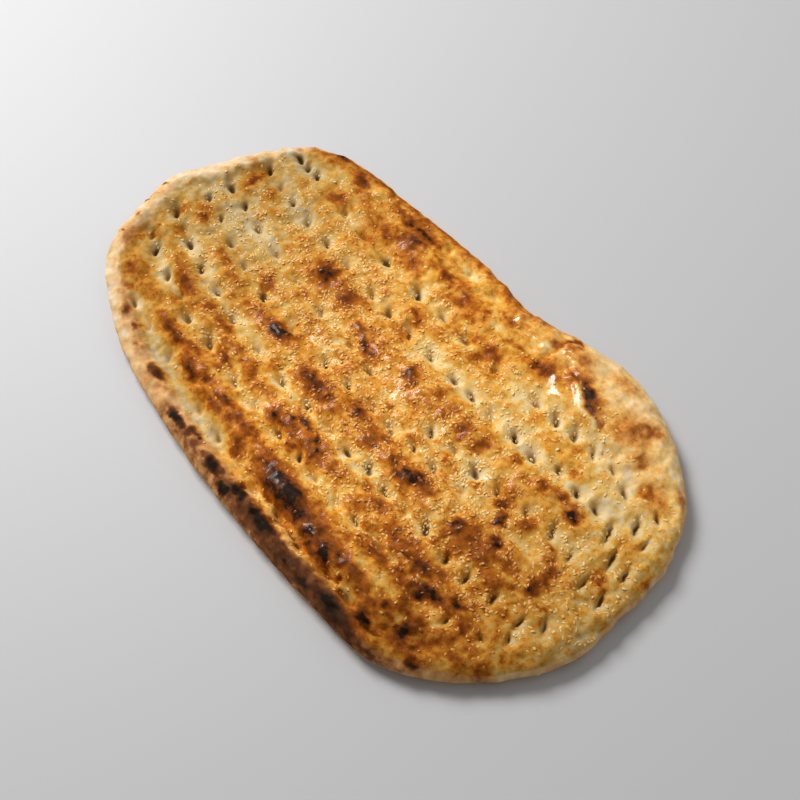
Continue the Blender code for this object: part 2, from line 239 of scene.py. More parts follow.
# The right rim's crest is lower than the solid's
RIGHT_CREST_LOSS = 1.44 * MM
BULGE_HEIGHT = 2.0 * MM
LUMP_HEIGHT = 0.90 * MM
DIMPLE_SMOOTHING = 0.6
GLAZE_SMOOTHING = 0.7
WALL_BAND = 7 * MM
SPOT_LIFT = 1.0 * MM
LIFTED_SPOTS = (0.5, 0.95)
HEADROOM = 1.5 * MM
UNDERSIDE_DENT = 0.7 * MM
UNDERSIDE_DENT_FADE = 30 * MM

# Clouds of random hills: one or more layers of strength, size and the number of the draw
CLOUD_REACH = 0.45
CLOUD_GAIN = 1.6
CLOUDS = {
    "tear_x": ((3.0 * MM, 7 * MM, 21), (1.1 * MM, 2.8 * MM, 22)),
    "tear_y": ((2.4 * MM, 7 * MM, 23), (1.1 * MM, 2.8 * MM, 24)),
    "pits_x": ((0.8 * MM, 5 * MM, 31),),
    "pits_y": ((0.8 * MM, 5 * MM, 32),),
    "grooves_x": ((0.8 * MM, 5 * MM, 33),),
    "grooves_y": ((0.8 * MM, 5 * MM, 34),),
    "edge": ((1.1 * MM, 17 * MM, 41), (0.44 * MM, 17 / 3 * MM, 42)),
    "bulges": ((1.0, 13 * MM, 55),),
    "lumps": ((1.0, 7 * MM, 51),),
    "wrinkles": ((0.42 * MM, 3.8 * MM, 52),),
    "wall": ((1.3 * MM, 11 * MM, 53),),
    "dents": ((1.0, 21 * MM, 54),),
    "streaks": ((0.16, 24 * MM, 60), (0.12, 15 * MM, 61)),
    "blotches": ((0.13, 8 * MM, 62), (0.16, 4 * MM, 63)),
    "far_edge": ((0.5, 11 * MM, 69),),
    "rim_tan": ((0.11, 13 * MM, 67), (0.08, 6 * MM, 68)),
    "matt_edge": ((0.12, 6 * MM, 71),),
    "shine": ((0.4, 22 * MM, 81),),
    "under_browning": ((0.25, 24 * MM, 64),),
    "under_char": ((0.22, 30 * MM, 65), (0.25, 12 * MM, 66)),
    "seeds": ((0.75, 17 * MM, 91), (0.75, 7 * MM, 92)),
}

# Stretches along the loaf: the X where each starts and the X from which it is full, in metres
STRETCHES = {
    "grooves": (0.145, 0.160),
    "wide_roll": (0.12, 0.22),
    "even_end": (-0.11, -0.19),
    "weak_spots": (-0.13, -0.21),
    "rolled_near_rim": (0.175, 0.125),
    "baked_far_edge": (0.10, 0.06),
    "tanned_near_rim": (-0.20, -0.06),
    "paler_near_rim": (0.17, 0.21),
    "lower_end": (0.12, 0.18),
}

TOP_CELLS = (396, 231)
BASE_CELLS = (97, 57)
RIM_CROWDING = 0.62
EDGE_WANDER_FADE = 6
# Two of these carry painted shade in part: the darkness of the pits' slots, and the darkening of floury,
# matt dough
BAKING_KINDS = ("browning", "flour", "char", "slot_painted_shade", "gloss", "dull_and_shade")

# ---------------------------------------------------------------- baking: where the crust took colour

# How sharply each kind of oval spot ends, and how strongly it falls off
SPOT_FALL = 0.55
SHARPNESS = {
    "baked": 2.2, "halo": 1.7, "rim_char": 2.4, "warm": 2.0, "pale": 2.2,
    "glazed": 2.4, "matt": 2.6, "dull_and_shade": 3.0, "sesame": 3.0,
}
SPOT_SPREAD = 1.22
CHAR_SPREAD = 1.15
PALE_SPREAD = 1.15
HALO_SPREAD = 2.1
HALO_SHARE = 0.52

# Each spot: X, Y, half length, half width in millimetres, turn in degrees, and browning, which is black at 1
BAKED_SPOTS = (
    # far side, from the flat end
    (-195, 124, 8, 3.5, 0, 1.0), (-226, 107, 1.6, 1.6, 0, 1.0), (-219, 107, 8, 4, -20, 0.50),
    (-206, 112, 5, 4, 0, 0.45), (-192, 110, 3, 3, 0, 0.5), (-188, 118, 10, 6, 0, 0.5),
    (-160, 117, 12, 4.5, -25, 0.78), (-148, 127, 2.5, 3.5, 0, 0.52), (-150, 106, 6, 4, 0, 0.5),
    (-134, 103, 4, 4, 0, 0.45), (-125, 114, 5, 4, 0, 0.42), (-110, 120, 10, 3, -5, 0.7),
    (-93, 117, 8, 4, 0, 0.75), (-101, 96, 6, 4, -15, 0.68), (-104, 96, 12, 6, 0, 0.5),
    (-156, 87, 9, 5, 0, 0.86), (-142, 90, 5, 2, -10, 0.6), (-222, 45, 4.5, 9, 10, 0.8),
    (-198, 45, 5, 8, 30, 0.52), (-181, 34, 5, 3, -15, 0.45), (-187, 25, 2.5, 2.5, 0, 0.5),
    (-178, 67, 2.5, 1.5, 0, 0.5), (-97, 30, 10, 9, -20, 0.82), (-112, 20, 13, 6, 10, 0.6),
    (-240, 56, 3.5, 3, 0, 0.45), (-237, 71, 5, 4, -20, 0.35), (-228, 98, 6, 2, 15, 0.45),
    (-191, 76, 5, 4, 0, 0.4), (-75, 119, 13, 4.5, 0, 0.88), (-78, 106, 10, 8, 20, 0.72),
    (-57, -116, 8, 3.5, 0, 0.7), (-4, 96, 6, 4, 0, 0.74), (-108, 81, 7, 4, 0, 0.55),
    (-85, 130, 8, 5, 0, 0.48), (-32, 105, 7, 4, -10, 0.8), (-57, 92, 10, 5, -25, 0.54),
    (-48, 103, 5, 3, 0, 0.5), (-14, 111, 5, 3, -20, 0.5), (-2, 102, 10, 6, -15, 0.6),
    (18, 104, 4, 3, 0, 0.6), (12, 91, 5, 4, 0, 0.5), (39, 115, 5, 3, -10, 0.7), (70, 100, 4, 4, 0, 0.5),
    (86, 107, 9, 7.5, 0, 0.84), (58, 103, 6, 2, 10, 0.58), (50, 83, 8.5, 5, 10, 0.7),
    (44, 73, 4, 6, 0, 0.8), (30, 82, 6, 3, 10, 0.55), (13, 77, 5, 4, 0, 0.45), (63, 74, 7, 6, 0, 0.46),
    (-15, 59, 8, 3.5, -20, 0.72), (-66, 27, 7, 8, 20, 0.7), (-37, 18, 5, 3, 0, 0.74),
    (-20, 10, 12, 4, -15, 0.8), (24, 20, 4.5, 7, 30, 0.86), (52, 25, 5, 5, 0, 0.54),
    (68, 24, 5, 3, 0, 0.5), (67, 17, 5, 3, 0, 0.6), (88, 19, 4.5, 6, 0, 0.75), (48, 3, 6, 4, -20, 0.42),
    (-21, 133, 2, 1.5, 0, 0.48), (18, 133, 9, 6, 0, 0.4), (89, 134, 4.5, 4.5, 0, 0.55),
    # the shoulder and the thick end
    (108, 115, 5, 4, -10, 0.72), (122, 113, 11, 5, -20, 0.9), (128, 112, 12, 5.5, -20, 1.0),
    (140, 103, 5, 4, -30, 1.0), (152, 101, 4, 2.5, 0, 0.74), (103, 106, 7, 5, 0, 0.5),
    (104, 134, 5, 6, 0, 0.5), (115, 123, 8, 5, -15, 0.45), (92, 136, 5, 6, 0, 0.48),
    (182, 127, 8, 4, 15, 0.62), (175, 116, 12, 8, 0, 0.5), (195, 104, 6, 4, 30, 0.5),
    (167, 107, 9, 4, 0, 0.45), (141, 143, 10, 5, 0, 0.4), (237, 105, 5, 2.5, -25, 0.5),
    (216, 90, 5, 5, 0, 0.78), (225, 91, 12, 8, -20, 0.36), (157, 75, 4, 4, 0, 0.5),
    (116, 72, 5, 4, 0, 0.45), (171, 59, 4, 3, 0, 0.5), (180, 39, 9, 3, 0, 0.78),
    (164, 34, 5, 4, 0, 0.68), (195, 33, 4.8, 4.8, 0, 0.86), (134, 33, 4, 3.5, 0, 0.68),
    (106, 22, 5, 9, -15, 0.72), (93, 15, 3, 3, 0, 0.68), (155, 28, 9, 5, 0, 0.46),
    (153, 2, 5.5, 5.5, 0, 0.75), (150, 11, 9, 7, 0, 0.5), (178, 5, 5, 7, 0, 0.64),
    (243, 13, 4, 6, 40, 0.6), (258, 9, 3, 2, 0, 0.4), (203, 3, 3, 2, 0, 0.5), (208, -3, 4, 4, 0, 0.66),
    (265, 37, 2.5, 4, 0, 0.5), (235, 45, 8, 5, -40, 0.35), (96, 39, 3, 3, 0, 0.55),
    (129, -3, 3, 3, 0, 0.6), (98, -6, 3, 5, 0, 0.56), (109, -18, 5, 2.5, -20, 0.5),
    (162, -10, 3, 6, 0, 0.9), (173, -24, 5, 3.5, 0, 0.84), (216, -12, 4, 7, 0, 0.74),
    (218, -27, 4.5, 6.5, 0, 0.72), (146, -36, 6, 5, 0, 0.84), (158, -37, 6, 5, 0, 0.5),
    (96, -71, 6, 6, 0, 0.6), (124, -78, 10, 8, 0, 0.48), (104, -88, 3, 2, 0, 0.7),
    (153, -77, 7, 6, 0, 0.85), (173, -86, 11, 4, 10, 0.95), (167, -92, 5, 4, 0, 0.9),
    (192, -76, 5, 3.8, 25, 1.0), (175, -72, 13, 3, 0, 0.6), (206, -85, 5, 3.5, -10, 0.7),
    (219, -58, 4, 4, 0, 0.48), (232, -33, 2, 2, 0, 0.6), (195, -30, 10, 4, 0, 0.52),
    (207, -40, 3, 2, 0, 0.65), (144, -55, 3, 9, 0, 0.64), (190, -59, 6, 5, 0, 0.52),
    (170, -107, 5, 4, 0, 0.65), (184, -107, 5, 6, 0, 0.7), (182, -117, 4.5, 6, 0, 0.85),
    (158, -115, 7, 3, -10, 0.8), (132, -116, 7, 4, 0, 0.58), (105, -118, 16, 5, 0, 0.66),
    (100, -126, 9, 5, -25, 0.98), (80, -124, 8, 4, 0, 1.0), (176, -119, 2, 1.6, 0, 0.78),
    (195, -120, 4, 3, 0, 0.78), (202, -128, 4, 3.5, 0, 0.95), (221, -105, 4, 4, 0, 0.78),
    (236, -97, 5, 5, 0, 0.62), (241, -78, 4, 4, 0, 0.42), (203, -104, 14, 12, 0, 0.4),
    # near side, from the flat end
    (-216, -13, 4.5, 7.5, 30, 0.68), (-225, -9, 8, 4, -10, 0.5), (-170, -28, 13, 4, -35, 0.52),
    (-148, -33, 13, 7, 10, 0.4), (-122, -14, 8, 5, -10, 0.66), (-100, -37, 5, 3, 10, 0.64),
    (-108, -33, 15, 10, 0, 0.46), (-167, -67, 10, 4.5, -10, 0.84), (-177, -63, 6, 5, -30, 0.58),
    (-133, -64, 4.5, 4.5, 0, 0.62), (-112, -65, 10, 3, -5, 0.68), (-130, -102, 17, 4, -5, 0.76),
    (-209, -92, 6, 4, -30, 0.76), (-203, -88, 16, 6, -10, 0.5), (-184, -95, 12, 5, 0, 0.5),
    (-195, -105, 4, 4, 0, 0.62), (-174, -119, 8, 4, -35, 0.6), (-156, -122, 4.5, 2.8, -25, 0.68),
    (-240, -74, 6, 9, 40, 0.58), (-187, -58, 15, 7, -22, 0.5), (-168, -30, 11, 8, 0, 0.5),
    (-143, -75, 5, 4, 0, 0.5), (-188, -54, 14, 3.5, -5, 0.4), (-92, -111, 12, 4, -15, 0.82),
    (-76, -107, 7, 3, 10, 0.7), (-234, -49, 1.5, 1.5, 0, 0.7), (-236, -23, 4, 4, 0, 0.7),
    (-218, -39, 5, 3.5, -30, 0.62), (-229, -55, 4, 3.5, 0, 0.58), (122, -96, 10, 5, 0, 0.72),
    (153, -95, 10, 4, 0, 0.7), (88, -130, 7, 3, 0, 0.88), (112, -119, 7, 4, 0, 0.8),
    (200, -113, 6, 5, 0, 0.66), (184, -127, 8, 4, 0, 0.7), (-158, -82, 6, 4, 0, 0.55),
    (157, -52, 5, 6, 0, 0.62), (-12, 40, 7, 4, 0, 0.55), (186, -44, 6, 5, 0, 0.58),
    (-76, -34, 11, 6.5, 0, 0.97), (-74, -34, 16, 8, 0, 0.68), (-19, -44, 21, 6, -8, 0.78),
    (-22, -43, 6, 3, 0, 0.9), (23, -32, 7, 5, -15, 0.8), (16, -31, 12, 8, 0, 0.5),
    (45, -33, 16, 4, 0, 0.56), (47, -42, 13, 3, 0, 0.6), (75, -39, 4, 3, 0, 0.76),
    (90, -39, 8, 6, 10, 0.84), (99, -34, 8, 4.5, 10, 1.0), (112, -37, 7, 5, 20, 0.75),
    (37, -12, 5, 3, 0, 0.58), (65, -17, 3, 3, 0, 0.42), (-54, -58, 5, 5, 0, 0.5),
    (-80, -69, 5, 4, 0, 0.46), (-84, -84, 5.5, 3, 0, 0.76), (-66, -72, 9, 4, 0, 0.42),
    (5, -70, 8, 3, 5, 0.9), (-6, -74, 4, 2.2, 0, 0.75), (24, -73, 6, 3, -40, 0.86),
    (31, -79, 2.8, 3.8, 0, 1.0), (-16, -86, 6.5, 5, -20, 0.76), (-5, -84, 7, 3, 0, 0.74),
    (15, -89, 5, 3, 20, 0.66), (8, -82, 22, 8, 0, 0.5), (-49, -107, 10, 3.5, 5, 0.76),
    (-20, -108, 13, 4, 0, 0.72), (-13, -122, 9, 4.5, -30, 0.76), (-35, -115, 7, 3, 0, 0.6),
    (-62, -117, 9, 4, 0, 0.5), (8, -115, 10, 3, 0, 0.5), (46, -119, 22, 8, -6, 1.12),
    (62, -122, 9, 6, 0, 1.0), (157, -134, 7, 5, 0, 0.95), (46, -116, 22, 8, 0, 0.72),
    (29, -125, 8, 4, 0, 0.78), (82, -119, 13, 6, -10, 0.72),
)
# Where the crust is paler between them, with the share of its browning that is missing: partly crust that
# stayed pale, partly painted light on lit flanks of puffs and on a glare
PALE_SPOTS = (
    (146, -108, 11, 5, 0, 0.8), (122, -108, 10, 4, 0, 0.8), (-35, 92, 9, 6, 0, 0.7),
    (-54, -43, 9, 7, 0, 0.7), (130, -28, 9, 6, 0, 0.6), (5, -16, 10, 6, 0, 0.6),
    (184, -69, 9, 5, 0, 0.6), (-110, 56, 14, 7, 0, 0.6), (-179, -76, 9, 5, -10, 0.9),
    (-195, -41, 9, 6, -20, 0.8), (-136, 119, 8, 4, 0, 0.8), (-177, -111, 7, 4, 0, 0.9),
    (79, 117, 8, 6, 0, 0.85), (-170, 14, 13, 7, 0, 0.5), (209, 86, 10, 6, 0, 0.5),
    (180, 48, 8, 5, 0, 0.7), (-10, -98, 14, 5, 0, 0.6), (58, -96, 18, 5, 0, 0.6),
    (-128, -86, 10, 4, 0, 0.5), (40, 50, 16, 7, 0, 0.45), (100, 60, 16, 6, 0, 0.4),
    (70, -56, 16, 5, 0, 0.5), (-40, 62, 16, 6, 0, 0.3), (0, 118, 10, 5, 0, 0.2),
    (-62, 78, 14, 5, 0, 0.4), (112, 4, 12, 5, 0, 0.5), (196, -10, 10, 7, 0, 0.4),
    (-96, -54, 16, 5, 0, 0.5), (-30, -64, 12, 5, 0, 0.35), (48, -66, 12, 5, 0, 0.4),
    (-167, -39, 9, 5, -35, 1.0), (122, -42, 7, 5, 0, 0.8), (153, -64, 7, 5, 0, 0.7),
    (103, -79, 8, 5, 0, 0.5), (-115, -25, 9, 5, 0, 0.7), (189, -93, 8, 5, 0, 0.7),
    (-189, -70, 10, 5, -30, 1.0), (-201, -38, 7, 5, -30, 0.6), (-83, -26, 7, 4, 0, 0.6),
    (-140, -54, 7, 3, 0, 0.75), (66, -128, 14, 3.5, 0, 0.35), (-83, -60, 9, 5, 0, 0.25),
    (119, 2, 8, 5, 0, 0.9), (115, 46, 8, 5, 0, 0.9), (-121, 18, 9, 5, 0, 0.7), (-146, 84, 9, 6, 0, 0.6),
    (225, 119, 16, 8, -35, 0.9), (220, -119, 16, 8, 35, 0.7),
)
# The char of the rolled rim, in the same terms
RIM_CHAR = (
    (-240, -70, 9, 6, 50, 0.45), (-243, -98, 8, 5, -50, 0.35), (-206, -97, 9, 5, -35, 0.45),
    (-192, -111, 8, 4, -25, 0.35), (-262, -30, 6, 9, 0, 0.25), (-197, 122, 8, 4, 0, 0.9),
    (-107, -133, 9, 3.5, 5, 0.82), (-138, -131, 7, 3.5, 0, 0.45), (-62, -145, 9, 3.0, -3, 1.05),
    (-43, -143, 4.5, 4.5, 0, 0.78), (-34, -141, 3, 2, 0, 0.8), (-21, -147, 3.5, 4, 0, 0.6),
    (-9, -147, 8.5, 4.5, 0, 1.0), (12, -152, 5, 3, 0, 1.15), (18, -142, 3.5, 7, 0, 1.1),
    (25, -145, 5.5, 4, 0, 1.2), (38, -142, 2, 2, 0, 0.85), (51, -145, 12, 5, 0, 1.2),
    (105, -151, 9, 4, 0, 0.8), (87, -152, 5, 1.5, 0, 1.0), (107, -151, 10, 3, 0, 0.95),
    (134, -145, 10, 4.5, 0, 1.15), (157, -135, 5, 4, 0, 1.0), (75, -148, 76, 10, 0, 0.68),
    (140, -145, 34, 9, 5, 0.78), (160, -149, 26, 6, 8, 0.4), (-20, -149, 50, 6, 0, 0.4),
    (166, -149, 15, 2.5, 10, 0.7), (-268, -18, 2.5, 1.6, 40, 0.55), (-265, -42, 3, 1.6, 60, 0.75),
    (-253, -57, 1.6, 2.6, 0, 0.5), (-247, -75, 2.5, 1.6, 0, 0.7),
)
# Broad warmth of the crust before its spots: X, Y, half length, half width, turn, browning
WARM_PATCHES = (
    (0, 0, 230, 95, 0, 0.23), (-60, 110, 130, 34, 0, 0.14), (20, -105, 170, 26, 0, 0.16),
    (90, -20, 90, 26, 0, 0.06), (-110, -70, 90, 30, 0, 0.08), (110, -118, 80, 22, 0, 0.07),
    (-235, -62, 20, 26, 20, 0.14), (110, 78, 60, 18, 0, 0.06), (-140, 30, 50, 30, 0, 0.04),
    (205, -112, 34, 26, 20, 0.09), (150, -75, 75, 34, 0, 0.12), (188, -42, 45, 24, 0, 0.11),
    (130, 120, 80, 34, 0, -0.11), (150, 60, 70, 30, 0, -0.05), (170, -122, 50, 16, 0, 0.12),
    (-228, 15, 74, 100, 0, -0.24), (238, -20, 46, 110, 0, -0.10), (85, 20, 65, 40, 0, -0.07),
    (-45, 22, 80, 44, 0, 0.06), (5, -62, 55, 30, 0, 0.07), (182, -60, 50, 46, 0, 0.07),
    (190, -116, 44, 20, 0, 0.04), (122, -82, 42, 22, 0, 0.06),
)
# Where the glaze pooled: X, Y, half length, half width, turn, strength
GLAZED_PATCHES = (
    (118, 98, 20, 11, -15, 1.0), (138, 105, 34, 7, -28, 1.0), (96, 128, 14, 8, 0, 0.9),
    (45, -119, 26, 12, 0, 0.65), (100, -125, 50, 10, 0, 0.3), (60, 118, 24, 10, 0, 0.6),
    (20, -8, 150, 60, 0, 0.30),
)
# Where the skin is matt and pale away from the rim, in the same terms
MATT_PATCHES = (
    (150, 138, 74, 17, -8, 0.55), (190, 112, 40, 24, -20, 0.4), (120, 146, 40, 12, 0, 0.3),
)
# Where the dough is floury and matt, and where its colour is darkened as painted shade, in the same terms
DULL_AND_SHADED_PATCHES = (
    (-262, 0, 150, 220, 0, 0.95), (262, -70, 100, 125, 0, 0.80), (180, -128, 75, 30, 0, 0.5),
    (-75, -127, 85, 11, 0, 0.4),
)

# The browning between the spots, and what adds to it or takes from it
BASE_BROWNING = 0.165
BASE_BROWNING_LIMIT = 0.66
STREAK_SQUEEZE = 0.6
BULGE_MOTTLE = 0.16
LUMP_MOTTLE = 0.10
COLD_MOTTLING = 0.35
WARM_MOTTLING = 2.2
LEAST_MOTTLING = 0.3
GLAZE_EVENING = 0.4
END_EVENING = 0.35
WAVE_BROWNING = 0.055 / MM
VALLEY_PALENESS = 0.16
RIM_VALLEY_PALENESS = 0.27
DIMPLE_PALENESS = 0.5
SPOT_GAIN = 1.12
WEAK_SPOT_LOSS = 0.16
# Creases are browned with their depth: partly their own browning, partly painted shade in them
CREASE_DARK = 2.6 * MM
CREASE_BROWNING_AND_SHADE = 0.72
SHARED_CHAR = 0.85
FINAL_DIMPLE_PALENESS = 0.12
FAR_EDGE_BROWNING = 0.46
FAR_EDGE_LEAST = 0.75
FAR_EDGE_WIDTH = 9 * MM

# The seam, the bright fold, and the share that each layer loses on the fold and where the crust is pale;
# this paleness is partly painted light, on the lit seam, the glinting fold and lit flanks
SEAM_PALE_POINTS = 7
SEAM_WIDTH = 2.3
SEAM_PALENESS_AND_LIGHT = 0.75
SEAM_CHAR_LOSS = 0.8
SEAM_MATT_LOSS = 0.6
FOLD_WIDTH = 3.2
PALE_LOSSES = {"base": 0.8, "spot": 0.6, "halo": 1.0}
FOLD_AND_HIGHLIGHT_LOSSES = {"base": 0.9, "spot": 0.95, "halo": 0.95}

# How far in from the edge the skin is matt, in millimetres, and how that ends
MATT_REACH = 6
MATT_REACH_GAIN = {"rolled": 12, "right": -3.5, "far": -4}
MATT_FADE = (1.25, 0.75)
LEFT_ROLL = 0.9

# How tanned the matt rim is by itself
RIM_TAN = 0.08
RIM_TAN_GAIN = {"near": 0.26, "lower_end": 0.10, "right": 0.10}
PALER_NEAR_RIM_LOSS = 0.6

# What makes the crust shiny, and what takes the shine and the matt darkening away; that darkening is partly
# painted shade
SHINE = 0.25
GLAZE_SHINE = 0.9
FOLD_SHINE = 0.6
BURNT_SPOTS = (0.6, 0.9)
BURNT_SHINE_LOSS = 0.12
DULL_SHINE_LOSS = 0.85
PALE_DULL_AND_SHADE_LOSS = 0.55
FLOUR_DULL_AND_SHADE_LOSS = 0.6

UNDER_BROWNING = 0.30
UNDER_CHAR = 0.28
UNDER_CHAR_LEAST = 0.08
# The underside's matt darkening, partly painted shade
UNDER_DULL_AND_SHADE = 0.8


# ---------------------------------------------------------------- small helpers

def smooth_step(start, full, value):
    share = np.clip((value - start) / (full - start), 0, 1)
    return share * share * (3 - 2 * share)


def stretch(name, x):
    return smooth_step(*STRETCHES[name], x)


def bell(value):
    return np.exp(-value * value)


def mound(distance, steepness):
    """1 at the middle, and down to 0 round it; its top is flatter where the steepness is greater."""
    return np.exp(-(distance**steepness))


def blend(*layers):
    """The layers together, where a strong one counts for far more than weak ones."""
    return sum(layer**3 for layer in layers) ** (1 / 3)


def cloud(x, y, size, draw):
    """Smooth random hills of about this size, from -1 to 1."""
    reach = int(CLOUD_REACH / size) + 2
    turns = np.random.default_rng(draw).uniform(0, math.tau, (2 * reach + 2, 2 * reach + 2))
    u, v = x / size + reach, y / size + reach
    column, row = np.floor(u).astype(int), np.floor(v).astype(int)
    u, v = u - column, v - row

    def fade(share):
        return share * share * share * (share * (share * 6 - 15) + 10)

    def corner(right, up):
        turn = turns[column + right, row + up]
        return np.cos(turn) * (u - right) + np.sin(turn) * (v - up)

    low = corner(0, 0) * (1 - fade(u)) + corner(1, 0) * fade(u)
    high = corner(0, 1) * (1 - fade(u)) + corner(1, 1) * fade(u)
    return np.clip(CLOUD_GAIN * (low * (1 - fade(v)) + high * fade(v)), -1, 1)


def clouds(kind, x, y):
    """The layers of one kind of cloud together."""
    return sum(strength * cloud(x, y, size, draw) for strength, size, draw in CLOUDS[kind])


def pushed(kind, x, y):
    """The same points pushed about a little, so that what is drawn on them gets uneven edges."""
    return x + clouds(kind + "_x", x, y), y + clouds(kind + "_y", x, y)


def turned(from_x, from_y, turn):
    """The same offsets along a direction and across it."""
    cosine, sine = math.cos(turn), math.sin(turn)
    return from_x * cosine + from_y * sine, from_y * cosine - from_x * sine


def ovals(x, y, spots, kind, spread=1.0):
    """The strength of each oval spot at each point, one spot after another."""
    for centre_x, centre_y, half_length, half_width, turn, strength in spots:
        along, across = turned(x - centre_x * MM, y - centre_y * MM, math.radians(turn))
        distance = np.hypot(along / (half_length * spread * MM), across / (half_width * spread * MM))
        yield strength * np.exp(-SPOT_FALL * distance ** SHARPNESS[kind])


def strongest(x, y, spots, kind, spread=1.0):
    """The strength of whichever oval spot is strongest at each point."""
    return np.maximum.reduce(list(ovals(x, y, spots, kind, spread)))


# ---------------------------------------------------------------- form

class Outline:
    """The loaf's edge as a smooth closed curve, read by the angle of an ellipse of the same size."""

    def __init__(self, length, width):
        self.length, self.width = length, width
        points = np.array(OUTLINE, dtype=float)
        middle = (points.max(0) + points.min(0)) / 2
        span = points.max(0) - points.min(0)
        unit = (points - middle) / span * 2
        angles = np.unwrap(np.arctan2(unit[:, 1], unit[:, 0]))
        radii = np.hypot(unit[:, 0], unit[:, 1])
        self.angles = np.concatenate((angles[-2:] - math.tau, angles, angles[:3] + math.tau))
        self.radii = np.concatenate((radii[-2:], radii, radii[:3]))
        self.slopes = np.gradient(self.radii, self.angles)

    def radius(self, angle):
        start = self.angles[1]
        angle = np.mod(angle - start, math.tau) + start
        index = np.clip(np.searchsorted(self.angles, angle) - 1, 0, len(self.angles) - 2)
        gap = self.angles[index + 1] - self.angles[index]
        t = (angle - self.angles[index]) / gap
        value_0, value_1 = self.radii[index], self.radii[index + 1]
        slope_0, slope_1 = self.slopes[index] * gap, self.slopes[index + 1] * gap
        return (
            value_0 * (2 * t**3 - 3 * t**2 + 1)
            + slope_0 * (t**3 - 2 * t**2 + t)
            + value_1 * (3 * t**2 - 2 * t**3)
            + slope_1 * (t**3 - t**2)
        )

    def point(self, angle):
        radius = self.radius(angle)
        return self.length / 2 * radius * np.cos(angle), self.width / 2 * radius * np.sin(angle)

    def reach(self, angle):
        """The distance from the middle to the tangent of the edge at this angle."""
        step = 0.01
        x, y = self.point(angle)
        x_0, y_0 = self.point(angle - step)
        x_1, y_1 = self.point(angle + step)
        run, rise = x_1 - x_0, y_1 - y_0
        return (x * rise - y * run) / np.hypot(run, rise)


def side_weights(x, y):
    return {
        "near": smooth_step(*LONG_SIDE_Y, -y),
        "far": smooth_step(*LONG_SIDE_Y, y),
        "left": smooth_step(*SHORT_SIDE_X, -x),
        "right": smooth_step(*SHORT_SIDE_X, x),
    }


def crest_band(inset):
    return bell((inset - RIM_CREST_INSET) / RIM_CREST_WIDTH)


def groove_band(inset):
    return bell((inset - RIM_GROOVE_INSET) / RIM_GROOVE_WIDTH)


def rim_relief(sides, inset):
    crest = np.maximum.reduce([weight * RIM_CREST[side] for side, weight in sides.items()])
    groove = np.maximum.reduce([weight * RIM_GROOVE[side] for side, weight in sides.items()])
    return crest * crest_band(inset) - groove * groove_band(inset)


def row_curve(heights):
    cubic = np.polyfit(np.array(ROW_STATIONS) * MM, np.array(heights) * MM, 3)
    return lambda x: np.polyval(cubic, x)


def pit_places():
    """Each pit as X, Y and a share of the full depth."""
    draw = random.Random(PIT_DRAW)
    places = []
    for name, (heights, positions) in PIT_ROWS.items():
        curve = row_curve(heights)
        for position in positions:
            x = position * MM
            y = float(curve(x)) + draw.uniform(-PIT_WANDER, PIT_WANDER)
            places.append((x, y, FADED_PIT_ROWS.get(name, 1.0) * draw.uniform(*PIT_STRENGTHS)))
    for angle in END_PIT_ANGLES:
        x = (END_PIT_CENTRE[0] + END_PIT_RADIUS * math.cos(math.radians(angle))) * MM
        y = (END_PIT_CENTRE[1] + END_PIT_RADIUS * math.sin(math.radians(angle))) * MM
        places.append((x, y, draw.uniform(*END_PIT_STRENGTHS)))
    return places


def pit_relief(x, y):
    """How far the pits sink, how much each point lies in a dimple, and how darkly its slot is painted as
    shade.
    """
    draw, shade = random.Random(PIT_DRAW + 1), random.Random(PIT_DRAW + 2)
    x, y = pushed("pits", x, y)
    sink, dimples, slots = np.zeros_like(x), np.zeros_like(x), np.zeros_like(x)
    for pit_x, pit_y, share in pit_places():
        size = float(np.interp(pit_x / MM, PIT_SIZE_STATIONS, PIT_SIZES))
        size = size * draw.uniform(1 - PIT_SIZE_SPREAD, 1 + PIT_SIZE_SPREAD)
        turn = float(np.interp(pit_x / MM, PIT_TURN_STATIONS, PIT_TURNS))
        turn = math.radians(turn + draw.uniform(-PIT_TURN_SPREAD, PIT_TURN_SPREAD))
        skew = 1 + PIT_SKEW * np.tanh((x - pit_x) / PIT_SKEW_REACH)
        along, across = turned(x - pit_x - SLOT_SHIFT * size, y - pit_y, turn)
        slot = np.hypot(along / SLOT_HALF_LENGTH, across / SLOT_HALF_WIDTH) / size * skew
        along, across = turned(x - pit_x, y - pit_y, turn)
        dimple = np.hypot(along / DIMPLE_HALF_LENGTH, across / DIMPLE_HALF_WIDTH) / size * skew
        grooved = float(stretch("grooves", pit_x))
        depth = SLOT_DEPTH * (1 - grooved) * mound(slot, SLOT_STEEPNESS)
        depth = depth + DIMPLE_DEPTH * (1 - END_DIMPLE_LOSS * grooved) * mound(dimple, DIMPLE_STEEPNESS)
        sink = np.maximum(sink, share * depth)
        share = min(1.0, share) * (1 - grooved)
        dimples = np.maximum(dimples, share * mound(dimple / DIMPLE_SHADE_SPREAD, DIMPLE_SHADE_STEEPNESS))
        slots = np.maximum(slots, share * shade.uniform(*PIT_DARKNESS) * mound(slot, SLOT_SHADE_STEEPNESS))
    return sink, dimples, slots


